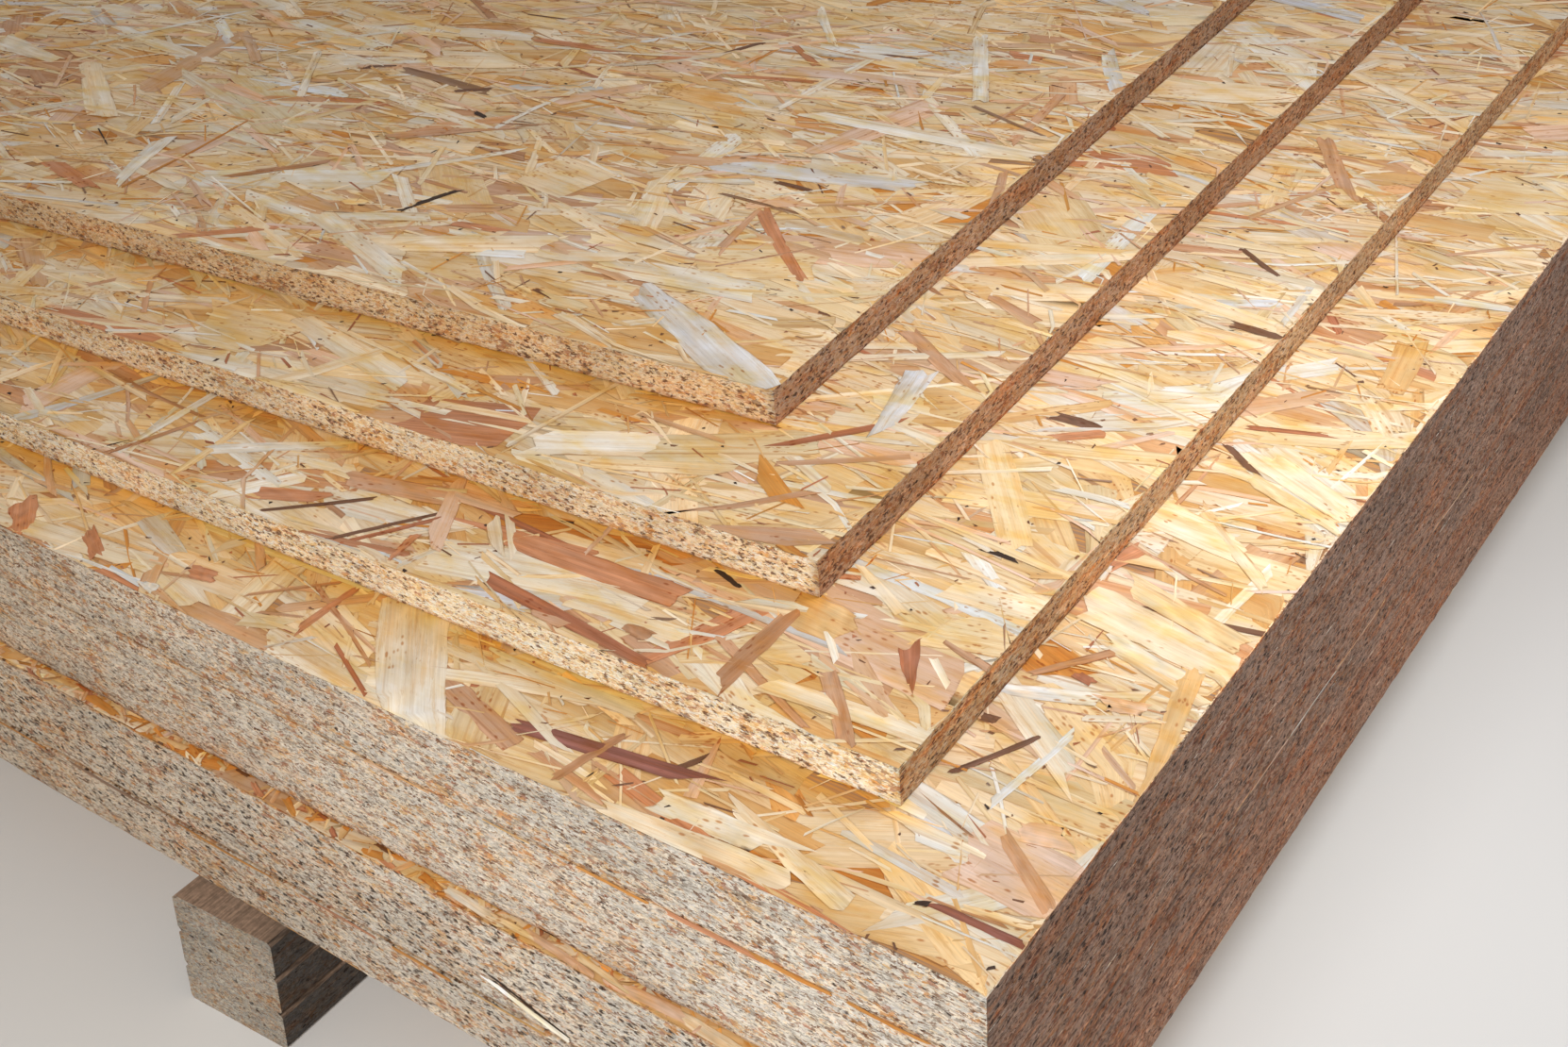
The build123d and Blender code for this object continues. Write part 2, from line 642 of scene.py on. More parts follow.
    def resin(self, n: Nodes, wood: Socket) -> Socket:
        """How strongly spots of resin show, which stand in clusters.

        Args:
            n: the material's nodes
            wood: the place on the wood

        Returns:
            A number from 0 to 1.
        """
        crowd = n.ramp(n.layer(n.spot(), RESIN_CLUSTERS), 0.5, 0.72, 0, 0.5)
        number, _, _, distance = n.cells(n.scaled(wood, RESIN_CELLS))
        chosen = n.ramp(n.math("ADD", number, crowd), 1.0, 1.06, 0, 0.85)
        return n.times(chosen, n.ramp(distance, 0.25, 0.5, 1, 0))

    def blotched(self, n: Nodes, colour: Socket) -> Socket:
        """Lays warm fields, and warm and pale blotches, over all the strands together."""
        fields = n.ramp(n.layer(n.spot(), WARM_FIELDS), 0.42, 0.62, 0, 0.9)
        colour = n.toned(fields, colour, self.field_tone)
        blotches = n.layer(n.spot(), BLOTCHES)
        warm, pale = self.blotch_tones
        colour = n.toned(n.ramp(blotches, 0.50, 0.66, 0, 0.9), colour, warm)
        return n.toned(n.ramp(blotches, 0.34, 0.47, 0.9, 0), colour, pale)

    def rim_stain_and_shade(self, n: Nodes, wood: Socket) -> Socket:
        """How strongly the rim is darkened along some stretches: resin stain, with painted shade where
        strands meet.

        Args:
            n: the material's nodes
            wood: the place on the wood

        Returns:
            A number from 0 to 1.
        """
        rim = n.add("ShaderNodeSeparateXYZ")
        n.link(n.add("ShaderNodeUVMap", uv_map=RIM).outputs["UV"], rim.inputs["Vector"])
        ragged = n.layer(wood, RAGGED_RIM)
        stretch = n.ramp(n.layer(wood, RIM_DARK_STRETCHES), 0.42, 0.6, 0, 1)
        edge = n.math("MINIMUM", rim.outputs["X"], rim.outputs["Y"])
        edge = n.math("ADD", edge, n.ramp(ragged, 0.3, 0.7, -self.rim_width * 0.8, self.rim_width))
        return n.times(n.ramp(edge, 0, self.rim_width, 0.95, 0), stretch)


@dataclass(frozen=True)
class SawnFinish:
    """The sawn side of a board: strand ends cut through, in short flecks, with dark pits.

    Amber flecks stand in clusters. The sides that are cut across the strands are darker and browner:
    their end grain's own colour, with painted shade on those sides.

    Attributes:
        name: the material's name
        shares: how often each tone comes up among the flecks
        warm: tones of the flecks that stand in clusters
        fleck: a fleck's size across, along and up, in metres
        pit: a pit's cell, in metres
        pitted: the part of the cells that holds a pit
        pit_tone: the tone inside a pit
        clustered: how densely the warm flecks stand inside a cluster
        cluster_tone: what the colour is multiplied by inside a cluster
        mottle: how far broad patches darken and lighten the whole
        shade: a multiplier for the whole
        across_shade_tone: what the colour is multiplied by on sides that are cut across the strands, for
            their browner end grain and painted shade
        slot_tone: colour of the dark slots there, where strands are cut across
        open_tone: what the colour is multiplied by at the pale open ends there
        rust_tone: what the colour is multiplied by in rusty layers, mostly on those sides
        face_tone: colour of faces that look up or down, if the piece has some
        gloss: strength of the shine
    """

    name: str
    shares: dict[Tone, float]
    warm: dict[Tone, float]
    fleck: Triple = (3.2 * MM, 3.4 * MM, 0.95 * MM)
    pit: Triple = (5.2 * MM, 5.2 * MM, 3.0 * MM)
    pitted: float = 0.34
    pit_tone: Tone = Tone.BARK
    clustered: float = 0.42
    cluster_tone: Triple = (0.98, 0.90, 0.79)
    mottle: float = 0.12
    shade: float = 1.0
    across_shade_tone: Triple = (0.51, 0.345, 0.285)
    slot_tone: Triple = (0.045, 0.02, 0.011)
    open_tone: Triple = (1.55, 1.5, 1.5)
    rust_tone: Triple = (1.10, 0.80, 0.58)
    face_tone: "Tone | None" = None
    gloss: float = 0.25

    def material(self) -> Material:
        """Builds the material."""
        n = Nodes(self.name)
        spot = n.spot()
        bent = self.bent(n, spot)
        colour, green, blue = self.flecked(n, spot, bent)
        pit = self.pits(n, bent)
        colour = n.mix(n.times(pit, 0.92), colour, self.pit_tone.linear)
        # painted shade on the sides cut across the strands, with their browner end grain
        across_grain = self.cut_across(n)
        colour = n.toned(across_grain, colour, self.across_shade_tone)
        colour = self.opened(n, colour, bent, across_grain)
        layers = n.layer(spot, PRESSED_LAYERS)
        rust = n.times(n.ramp(layers, 0.52, 0.66, 0, 1), n.ramp(across_grain, 0, 1, 0.35, 1))
        colour = n.toned(rust, colour, self.rust_tone)
        if self.face_tone:
            colour = self.with_faces(n, colour, spot)
        else:
            tint = n.add("ShaderNodeAttribute", attribute_name=TINT)
            colour = n.mix(1.0, colour, tint.outputs["Color"], "MULTIPLY")
        dark, light = (1 - self.mottle) * self.shade, (1 + self.mottle) * self.shade
        streaks = n.layer(spot, SAW_STREAKS)
        shade = n.times(n.ramp(n.noise(spot, 14, 3), 0.3, 0.7, dark, light),
                        n.ramp(streaks, 0.3, 0.72, 1.16, 0.74))
        shade = n.times(shade, n.ramp(layers, 0.30, 0.5, 0.84, 1.04))
        n.link(n.shaded(colour, shade), n.shader.inputs["Base Color"])
        n.link(n.ramp(green, 0, 1, 0.68, 0.9), n.shader.inputs["Roughness"])
        n.shader.inputs["Specular IOR Level"].default_value = self.gloss
        relief = n.math("SUBTRACT", n.times(blue, 0.6), n.times(pit, 2.0))
        n.bump(n.math("SUBTRACT", relief, streaks), 0.4 * MM, 0.75)
        return n.material

    def flecked(self, n: Nodes, spot: Socket, bent: Socket) -> tuple[Socket, Socket, Socket]:
        """Lays large and small flecks, and warm ones in clusters.

        Args:
            n: the material's nodes
            spot: the place in the object
            bent: the same, bent

        Returns:
            The colour, and two numbers from 0 to 1 that are the same all over a large fleck.
        """
        across, along, up = (1 / size for size in self.fleck)
        red, green, blue, _ = n.cells(n.scaled(bent, (across, along, up)))
        small = n.cells(n.scaled(bent, (across * 1.9, along * 1.9, up * 1.1), (5, 2, 9)))
        warm = n.cells(n.scaled(bent, (across, along, up * 0.62), (8, 3, 5)))
        clusters = n.layer(spot, FLECK_CLUSTERS)
        colour = n.mix(n.ramp(small[1], 0.45, 0.5, 0, 0.85), n.picked(red, self.shares),
                       n.picked(small[0], self.shares))
        crowd = n.ramp(clusters, 0.4, 0.72, -0.10, self.clustered)
        amber = n.ramp(n.math("ADD", warm[2], crowd), 0.90, 0.96, 0, 0.72)
        colour = n.mix(amber, colour, n.picked(warm[1], self.warm))
        colour = n.toned(n.ramp(clusters, 0.48, 0.66, 0, 0.8), colour, self.cluster_tone)
        return colour, green, blue

    def pits(self, n: Nodes, bent: Socket) -> Socket:
        """1 inside a pit and 0 elsewhere, on bent places."""
        holes = n.cells(n.scaled(bent, tuple(1 / size for size in self.pit), (2, 7, 1)))
        chosen = n.ramp(holes[0], 0.97 - self.pitted, 1 - self.pitted, 0, 1)
        return n.times(chosen, n.ramp(holes[3], 0.22, 0.38, 1, 0))

    def opened(self, n: Nodes, colour: Socket, bent: Socket, across_grain: Socket) -> Socket:
        """Lays dark slots and pale open ends over the sides that are cut across the strands.

        Args:
            n: the material's nodes
            colour: the sawn colour
            bent: the place in the object, bent
            across_grain: 1 on those sides and 0 elsewhere

        Returns:
            The colour.
        """
        slots = n.cells(n.scaled(bent, SLOT_CELLS, (4, 6, 3)))
        slot = n.times(n.ramp(slots[0], 0.70, 0.74, 0, 0.8), n.ramp(slots[3], 0.22, 0.42, 1, 0))
        colour = n.mix(n.times(slot, across_grain), colour, self.slot_tone)
        pale = n.times(n.ramp(slots[1], 0.84, 0.88, 0, 0.5), across_grain)
        return n.toned(pale, colour, self.open_tone)

    def bent(self, n: Nodes, spot: Socket) -> Socket:
        """Shifts places by a wave and fine ripples, so that no fleck has a straight side."""
        shift = n.add("ShaderNodeCombineXYZ")
        side = n.ramp(n.layer(spot, SIDE_DRIFT), 0.2, 0.8, -2.4 * MM, 2.4 * MM)
        n.link(side, shift.inputs["X"])
        n.link(side, shift.inputs["Y"])
        wave = n.ramp(n.layer(spot, SIDE_WAVE), 0, 1, -1.6 * MM, 1.6 * MM)
        ripple = n.ramp(n.layer(spot, SIDE_RIPPLE), 0.2, 0.8, -0.8 * MM, 0.8 * MM)
        n.link(n.math("ADD", wave, ripple), shift.inputs["Z"])
        moved = n.add("ShaderNodeVectorMath", operation="ADD")
        n.link(spot, moved.inputs[0])
        n.link(shift.outputs["Vector"], moved.inputs[1])
        return moved.outputs["Vector"]

    def cut_across(self, n: Nodes) -> Socket:
        """1 on sides that are cut across the strands and 0 elsewhere."""
        normal = n.add("ShaderNodeSeparateXYZ")
        n.link(n.add("ShaderNodeNewGeometry").outputs["True Normal"], normal.inputs["Vector"])
        return n.ramp(n.math("ABSOLUTE", normal.outputs["Y"], 0), 0.5, 0.9, 0, 1)

    def with_faces(self, n: Nodes, colour: Socket, spot: Socket) -> Socket:
        """Lays the pressed look over faces that look up or down.

        Args:
            n: the material's nodes
            colour: the sawn colour
            spot: the place in the object

        Returns:
            The colour.
        """
        normal = n.add("ShaderNodeSeparateXYZ")
        n.link(n.add("ShaderNodeNewGeometry").outputs["True Normal"], normal.inputs["Vector"])
        levelness = n.math("ABSOLUTE", normal.outputs["Z"], 0)
        grain = n.ramp(n.layer(spot, BEARER_GRAIN), 0.35, 0.65, 0, 1)
        dark = tuple(c * 0.62 for c in self.face_tone.linear)
        eased = n.ramp(levelness, 0.45, 0.6, 0, 0.9)
        colour = n.mix(eased, colour, n.mix(grain, Tone.BARK.linear, dark))
        flat = n.ramp(levelness, 0.8, 0.95, 0, 0.85)
        return n.mix(flat, colour, n.mix(grain, dark, self.face_tone.linear))


@dataclass(frozen=True)
class TrayFinish:
    """Stained wood deep between the strands.

    Attributes:
        name: the material's name
        light: its lighter tone
        dark: its darker tone
    """

    name: str
    light: Tone = Tone.AMBER
    dark: Tone = Tone.COCOA

    def material(self) -> Material:
        """Builds the material."""
        n = Nodes(self.name)
        grain = n.layer(n.spot(), TRAY_GRAIN)
        n.link(n.mix(n.ramp(grain, 0.35, 0.65, 0, 1), self.dark.linear, self.light.linear),
               n.shader.inputs["Base Color"])
        n.link(n.ramp(grain, 0.3, 0.7, 0.65, 0.85), n.shader.inputs["Roughness"])
        n.bump(grain, 0.2 * MM, 0.6)
        return n.material


@dataclass(frozen=True)
class FloorFinish:
    """A plain pale painted floor.

    Attributes:
        name: the material's name
        colour: its linear colour
    """

    name: str
    colour: Triple

    def material(self) -> Material:
        """Builds the material."""
        n = Nodes(self.name)
        patch = n.noise(n.spot(), 1.3, 4)
        pale = tuple(c * 1.03 for c in self.colour)
        n.link(n.mix(n.ramp(patch, 0.35, 0.65, 0, 1), self.colour, pale), n.shader.inputs["Base Color"])
        n.shader.inputs["Roughness"].default_value = 0.85
        return n.material


@dataclass
class Strewn:
    """Strands strewn over a face, before they have a shape.

    Attributes:
        place: (count, 2) middles, across and along
        turn: angles from the board's length
        long: lengths
        wide: widths
        level: 0 for the deepest to 1 for the highest
    """

    place: np.ndarray
    turn: np.ndarray
    long: np.ndarray
    wide: np.ndarray
    level: np.ndarray

    def kept(self, keep: np.ndarray) -> "Strewn":
        """The strands for which keep is true."""
        return Strewn(self.place[keep], self.turn[keep], self.long[keep], self.wide[keep],
                      self.level[keep])


@dataclass(frozen=True)
class Splitting:
    """How planed strands split along their sides and splinter at their ends.

    Attributes:
        taper: most that a side narrows towards one end, as a share of the width
        taper_odds: the two numbers of the beta curve from which that is drawn
        bow: how late along the strand a side narrows
        wander: how far a side wanders, as a share of the width
        least_width: least width that is left, as a share
        reach: how far splinters reach at most, as a share of the length
        longest_reach: the same, in metres
        slant: how far an end is cut aslant, as a share of the reach
        splinter: how far splinters stick in and out, as shares of the reach
        bend: how far a strand bends, as a share of its length
        clean: mean and spread of how much of the rim is free of the darkened line, in millimetres
    """

    taper: float = 0.52
    taper_odds: Pair = (0.8, 2.2)
    bow: float = 1.4
    wander: float = 0.025
    least_width: float = 0.1
    reach: float = 0.3
    longest_reach: float = 10 * MM
    slant: float = 0.5
    splinter: Pair = (-0.55, 0.25)
    bend: float = 0.010
    clean: Pair = (0.1, 0.6)


@dataclass(frozen=True)
class StrandKind:
    """One kind of strand, and how it is strewn.

    Attributes:
        density: strands for each square metre
        long: lengths
        wide: widths
        level: lowest and highest level
        palette: its tones
        crossed: the part of them that lies at any angle
        scatter: how far the others stray from the board's length, in degrees
        rows: points along each side
        columns: points across each end
        pitch: lattice across and along, if the strands lie on a lattice, jittered
        jitter: how far a strand strays from its lattice place, as a share of the pitch
        unevenness: how far the brightness strays inside one strand
        splitting: how they split
    """

    density: float
    long: Spread
    wide: Spread
    level: Pair
    palette: Palette
    crossed: float = 0.3
    scatter: float = 15.0
    rows: int = 4
    columns: int = 4
    pitch: "Pair | None" = None
    jitter: float = 0.3
    unevenness: float = 0.06
    splitting: Splitting = Splitting()

    def strew(self, rng: Chance, width: float, length: float) -> Strewn:
        """Chooses every strand's place, turn, length, width and level.

        Args:
            rng: the seeded source of chance
            width: the face's size across
            length: the face's size along

        Returns:
            The strands.
        """
        if self.pitch:
            across = np.arange(0, width + self.pitch[0], self.pitch[0])
            along = np.arange(0, length + self.pitch[1], self.pitch[1])
            grid = np.stack(np.meshgrid(across, along), -1)
            grid[:, :, 1] += (np.arange(len(across)) % 2) * self.pitch[1] / 2
            stray = rng.uniform(-self.jitter, self.jitter, (grid.size // 2, 2))
            place = grid.reshape(-1, 2) + stray * self.pitch
        else:
            place = rng.uniform(0, 1, (int(self.density * width * length), 2)) * (width, length)
        count = len(place)
        turn = rng.normal(0, self.scatter, count)
        turn = np.where(rng.uniform(0, 1, count) < self.crossed, rng.uniform(-90, 90, count), turn)
        return Strewn(place, np.radians(turn), self.long.draw(rng, count), self.wide.draw(rng, count),
                      rng.uniform(*self.level, count))

    def outline(self, rng: Chance, strewn: Strewn) -> tuple[np.ndarray, np.ndarray]:
        """Works out each strand's outline: split along its sides, splintered at its ends.

        Args:
            rng: the seeded source of chance
            strewn: the strands

        Returns:
            (count, rows, columns, 2) places across and along each strand from its middle, and the
            distances from its sides and ends.
        """
        count, split = len(strewn.turn), self.splitting
        long, wide = strewn.long[:, None, None], strewn.wide[:, None, None]
        step = np.linspace(-0.5, 0.5, self.rows)[None, :, None]
        side = np.linspace(0, 1, self.columns)[None, None, :]
        edges = []
        for _ in range(2):
            taper = rng.beta(*split.taper_odds, (count, 1, 1)) * split.taper
            end = rng.choice([-1.0, 1.0], (count, 1, 1))
            wander = rng.normal(0, split.wander, (count, self.rows, 1))
            edges.append(0.5 - taper * (0.5 + step * end) ** split.bow + wander)
        left, right = -edges[0], edges[1]
        span = np.maximum(right - left, split.least_width)
        x = wide * (left + span * side)
        at_end = (np.abs(step) > 0.49) * 1.0
        reach = np.minimum(np.minimum(wide, long * split.reach), split.longest_reach)
        slant = rng.normal(0, split.slant, (count, self.rows, 1)) * (side - 0.5) * 2
        splinter = rng.uniform(*split.splinter, (count, self.rows, self.columns))
        y = step * long + at_end * reach * (slant + splinter * np.sign(step))
        x = x + rng.normal(0, split.bend, (count, 1, 1)) * long * (4 * step ** 2 - 0.3)
        if self.columns < 3:
            rim = np.full((*x.shape, 2), NO_RIM)
        else:
            from_side = wide * span * np.minimum(side, 1 - side)
            rim = np.stack([from_side, long * (0.5 - np.abs(step)) + 0 * x], -1)
            rim = rim + np.clip(rng.normal(*split.clean, (count, 1, 1, 1)), 0, None) * MM
        return np.stack([x, y], -1), rim


BASE_STRANDS = StrandKind(
    density=0, pitch=(13 * MM, 60 * MM), long=Spread(108, 0.10, 90, 130), wide=Spread(24, 0.2, 18, 36),
    level=(0.0, 0.4), crossed=0.08, scatter=14, rows=3, columns=3,
    palette=Palette({Tone.CREAM: 30, Tone.STRAW: 30, Tone.HONEY: 16, Tone.TAN: 10, Tone.BONE: 8,
                     Tone.AMBER: 2, Tone.ROSE: 4}, 0.05),
)
BROAD_STRANDS = StrandKind(
    density=620, long=Spread(74, 0.36, 30, 135), wide=Spread(14, 0.55, 4, 44), level=(0.3, 0.9),
    crossed=0.30, scatter=19,
    palette=Palette({Tone.CREAM: 38, Tone.STRAW: 21, Tone.BONE: 13, Tone.BLUSH: 11, Tone.HONEY: 5,
                     Tone.TAN: 5, Tone.PEARL: 8, Tone.MIST: 3, Tone.ROSE: 3, Tone.FOX: 1.2}, 0.045),
)
NARROW_STRANDS = StrandKind(
    density=1700, long=Spread(46, 0.45, 16, 120), wide=Spread(4.8, 0.5, 1.6, 14), level=(0.5, 0.95),
    crossed=0.28, scatter=21, rows=3, columns=3,
    palette=Palette({Tone.CREAM: 34, Tone.STRAW: 20, Tone.BONE: 15, Tone.BLUSH: 12, Tone.PEARL: 7,
                     Tone.HONEY: 6, Tone.TAN: 7, Tone.ROSE: 5, Tone.MIST: 3, Tone.FOX: 1.6, Tone.NUT: 1.2,
                     Tone.RUSSET: 1.3, Tone.AMBER: 1.4, Tone.UMBER: 0.8, Tone.BARK: 0.25}, 0.055),
)
WISPS = StrandKind(
    density=3000, long=Spread(32, 0.45, 10, 90), wide=Spread(2.0, 0.45, 0.8, 4.5), level=(0.6, 0.96),
    crossed=0.22, scatter=19, rows=3, columns=2,
    palette=Palette({Tone.CREAM: 34, Tone.STRAW: 20, Tone.BONE: 14, Tone.BLUSH: 12, Tone.HONEY: 9,
                     Tone.PEARL: 5, Tone.TAN: 9, Tone.AMBER: 2, Tone.ROSE: 5, Tone.NUT: 1.5,
                     Tone.RUSSET: 0.8, Tone.UMBER: 0.3}, 0.05),
)
SLIVERS = StrandKind(
    density=2000, long=Spread(14, 0.5, 4, 40), wide=Spread(1.0, 0.4, 0.5, 2.2), level=(0.85, 1.0),
    crossed=0.35, scatter=22, rows=2, columns=2,
    palette=Palette({Tone.CREAM: 20, Tone.PEARL: 8, Tone.HONEY: 20, Tone.AMBER: 14, Tone.ROSE: 10,
                     Tone.RUSSET: 7, Tone.COCOA: 3, Tone.UMBER: 2.2, Tone.BARK: 0.8}, 0.08),
)
SPECKS = StrandKind(
    density=1500, long=Spread(2.4, 0.4, 1.0, 7), wide=Spread(1.2, 0.3, 0.6, 2.4), level=(0.97, 1.0),
    crossed=0.6, scatter=30, rows=2, columns=2,
    palette=Palette({Tone.UMBER: 30, Tone.BARK: 20, Tone.RUSSET: 26, Tone.COCOA: 14}, 0.15),
)
LEDGE_FLAKES = StrandKind(
    density=42000, long=Spread(9, 0.45, 3, 26), wide=Spread(2.4, 0.4, 0.9, 6), level=(0.3, 1.0),
    crossed=0.6, scatter=32, rows=3, columns=3, unevenness=0.12,
    palette=Palette({Tone.TAN: 28, Tone.HONEY: 24, Tone.STRAW: 20, Tone.CREAM: 12, Tone.AMBER: 10,
                     Tone.BLUSH: 6, Tone.FOX: 7, Tone.RUSSET: 4, Tone.UMBER: 1.4}, 0.14),
)
PRESSED_FACE = (BASE_STRANDS, BROAD_STRANDS, NARROW_STRANDS, WISPS, SLIVERS, SPECKS)
LEDGE_FACE = (BASE_STRANDS, LEDGE_FLAKES)
HIDDEN_FACE = (BASE_STRANDS, replace(BROAD_STRANDS, density=420), replace(NARROW_STRANDS, density=300))
BOOK_SIDE = {
    Tone.BONE: 16, Tone.SILVER: 24, Tone.PEARL: 22, Tone.MIST: 8, Tone.CREAM: 5, Tone.ASH: 18,
    Tone.TAN: 4, Tone.COCOA: 8, Tone.UMBER: 6,
}
FRESH_SIDE = {
    Tone.CREAM: 32, Tone.STRAW: 18, Tone.BONE: 14, Tone.TAN: 12, Tone.HONEY: 10, Tone.PEARL: 10,
    Tone.ROSE: 6, Tone.COCOA: 5,
}
WARM_FLECKS = {Tone.AMBER: 30, Tone.RUSSET: 26, Tone.HONEY: 16, Tone.COCOA: 16, Tone.UMBER: 8}


@dataclass(frozen=True)
class PlainStrand:
    """A strand that stands out among the rest.

    Attributes:
        start: one end, millimetres across and along from the board's near corner
        end: the other end
        wide: its width in millimetres
        tone: its tone
    """

    start: Pair
    end: Pair
    wide: float
    tone: Tone

    def strewn(self, level: float) -> Strewn:
        """The strand as one that is strewn, at a level from 0 to 1."""
        start, end = np.array(self.start) * MM, np.array(self.end) * MM
        run = end - start
        return Strewn((start + end)[None] / 2, np.array([math.atan2(-run[0], run[1])]),
                      np.array([np.hypot(*run)]), np.array([self.wide * MM]), np.array([level]))


PLAIN_SHAPE = StrandKind(
    density=0, long=Spread(80, 0, 80, 80), wide=Spread(8, 0, 8, 8), level=(0.9, 1.0),
    palette=Palette({Tone.CREAM: 1}), rows=8, columns=5, unevenness=0.09,
)
# How strongly their growth rings show, and the level of the first of them
PLAIN_RINGS = 0.15
PLAIN_LEVEL = 0.9
# Each: start and end in millimetres across and along from the near corner, width, tone
PLAIN_STRANDS = {
    "top_board": (
        ((63, 113), (-5, 1), 26, Tone.MIST), ((98, 360), (172, 284), 7, Tone.PEARL),
        ((202, 703), (302, 640), 7, Tone.PEARL), ((248, 447), (238, 363), 9, Tone.COCOA),
        ((77, 296), (114, 282), 5, Tone.BARK), ((208, 351), (204, 338), 4, Tone.BARK),
        ((157, 376), (201, 312), 11, Tone.ROSE), ((39, 482), (102, 511), 14, Tone.PEARL),
        ((184, 477), (254, 529), 6, Tone.BONE), ((231, 387), (243, 366), 5, Tone.UMBER),
        ((71, 430), (114, 383), 8, Tone.NUT), ((120, 529), (166, 535), 9, Tone.BONE),
        ((1, 393), (34, 346), 8, Tone.FOX), ((77, 256), (83, 222), 8, Tone.FOX),
        ((58, 337), (15, 234), 14, Tone.BONE), ((160, 110), (96, 46), 8, Tone.FOX),
        ((107, 102), (160, 110), 6, Tone.ROSE), ((198, 166), (218, 49), 20, Tone.MIST),
        ((282, 156), (276, 2), 13, Tone.BONE), ((436, 121), (336, 69), 10, Tone.PEARL),
        ((192, 122), (190, 96), 4, Tone.UMBER), ((355, 257), (377, 247), 5, Tone.UMBER),
        ((325, 397), (328, 329), 9, Tone.FOX), ((325, 299), (335, 272), 9, Tone.FOX),
        ((446, 248), (387, 200), 7, Tone.BONE), ((329, 71), (304, 13), 3, Tone.COCOA),
        ((318, 237), (327, 178), 7, Tone.FOX), ((168, 141), (162, 87), 3, Tone.COCOA),
        ((182, 775), (170, 698), 20, Tone.BONE),
    ),
    "middle_step_board": (
        ((183, 66), (147, 12), 9, Tone.ROSE), ((96, 28), (152, 39), 15, Tone.MIST),
    ),
    "low_step_board": (
        ((63, 89), (59, 59), 24, Tone.HONEY), ((42, 237), (44, 131), 15, Tone.FOX),
        ((15, 213), (3, 116), 8, Tone.RUSSET), ((19, 143), (17, 127), 7, Tone.NUT),
        ((4, 87), (59, 85), 11, Tone.NUT), ((68, 133), (62, 115), 3, Tone.BARK),
        ((64, 35), (39, 19), 9, Tone.RUSSET), ((35, 54), (3, 24), 7, Tone.ROSE),
        ((241, 65), (242, 42), 8, Tone.UMBER), ((223, 56), (238, 37), 7, Tone.FOX),
        ((359, 28), (356, 1), 7, Tone.UMBER), ((27, 408), (66, 347), 9, Tone.PEARL),
        ((42, 329), (54, 270), 13, Tone.ROSE), ((11, 359), (27, 324), 11, Tone.FOX),
        ((3, 342), (37, 301), 3, Tone.UMBER), ((2, 297), (42, 266), 3, Tone.UMBER),
        ((2, 290), (39, 263), 3, Tone.RUSSET), ((4, 261), (25, 264), 5, Tone.FOX),
        ((1, 450), (44, 432), 4, Tone.NUT), ((597, 70), (522, 30), 12, Tone.ROSE),
        ((438, 56), (416, 26), 4, Tone.UMBER),
    ),
    "upper_book_board_2": (
        ((3, 168), (8, 84), 12, Tone.CREAM), ((16, 152), (20, 98), 13, Tone.BONE),
        ((30, 124), (10, 62), 10, Tone.CREAM), ((204, 72), (190, -8), 24, Tone.CREAM),
        ((222, 60), (206, 2), 13, Tone.STRAW), ((184, 54), (176, 6), 11, Tone.BONE),
        ((342, 58), (308, -8), 18, Tone.CREAM), ((322, 52), (300, 2), 10, Tone.STRAW),
        ((62, 323), (-20, 246), 30, Tone.BONE), ((47, 265), (51, 187), 9, Tone.PEARL),
        ((20, 551), (0, 525), 14, Tone.FOX), ((19, 499), (8, 476), 8, Tone.FOX),
        ((23, 429), (26, 413), 9, Tone.FOX), ((17, 351), (53, 350), 5, Tone.FOX),
        ((7, 442), (5, 430), 6, Tone.PEARL), ((149, 36), (153, 18), 9, Tone.BLUSH),
        ((136, 75), (150, 36), 8, Tone.PEARL), ((110, -3), (188, 16), 10, Tone.HONEY),
        ((159, 53), (157, 44), 5, Tone.RUSSET), ((231, 75), (249, 68), 9, Tone.FOX),
        ((253, 89), (234, 24), 2, Tone.ROSE),
        ((21, 228), (33, 143), 8, Tone.PLUM), ((5, 192), (39, 185), 5, Tone.NUT),
        ((32, 156), (44, 149), 3.5, Tone.UMBER), ((25, 37), (26, 0), 4, Tone.PLUM),
        ((23, 42), (25, 37), 3, Tone.BARK), ((85, 65), (120, 46), 3, Tone.UMBER),
        ((66, 33), (43, -1), 7, Tone.ROSE), ((72, 30), (76, 12), 12, Tone.BLUSH),
        ((118, 72), (119, 65), 5, Tone.UMBER), ((150, 69), (181, 44), 5, Tone.NUT),
        ((341, 72), (325, 50), 4, Tone.UMBER), ((360, 70), (371, 33), 4, Tone.RUSSET),
    ),
    "lower_book_board_3": (
        ((2, 98), (5, 134), 6, Tone.CREAM), ((5, 128), (3, 168), 6, Tone.BLUSH),
        ((3, 150), (6, 186), 4, Tone.STRAW), ((2, 172), (4, 214), 5, Tone.BLUSH),
        ((5, 196), (3, 232), 4, Tone.CREAM), ((2, 222), (5, 258), 5, Tone.BONE),
        ((2, 259), (5, 273), 4, Tone.AMBER), ((6.8, 292), (7.8, 304), 2, Tone.UMBER),
        ((1, 322), (4, 330), 3, Tone.RUSSET), ((7, 335), (8, 344), 2, Tone.RUSSET),
        ((1, 348), (6, 362), 4, Tone.AMBER), ((1, 372), (6, 384), 3, Tone.FOX),
        ((7, 388), (8, 398), 2, Tone.UMBER), ((5, 430), (2, 450), 4, Tone.HONEY),
        ((3, 480), (5, 506), 5, Tone.AMBER), ((7, 508), (8, 520), 2, Tone.RUSSET),
    ),
}


class Side(Enum):
    """The two sawn sides that meet at a board's near corner."""

    LONG = "long"
    SHORT = "short"


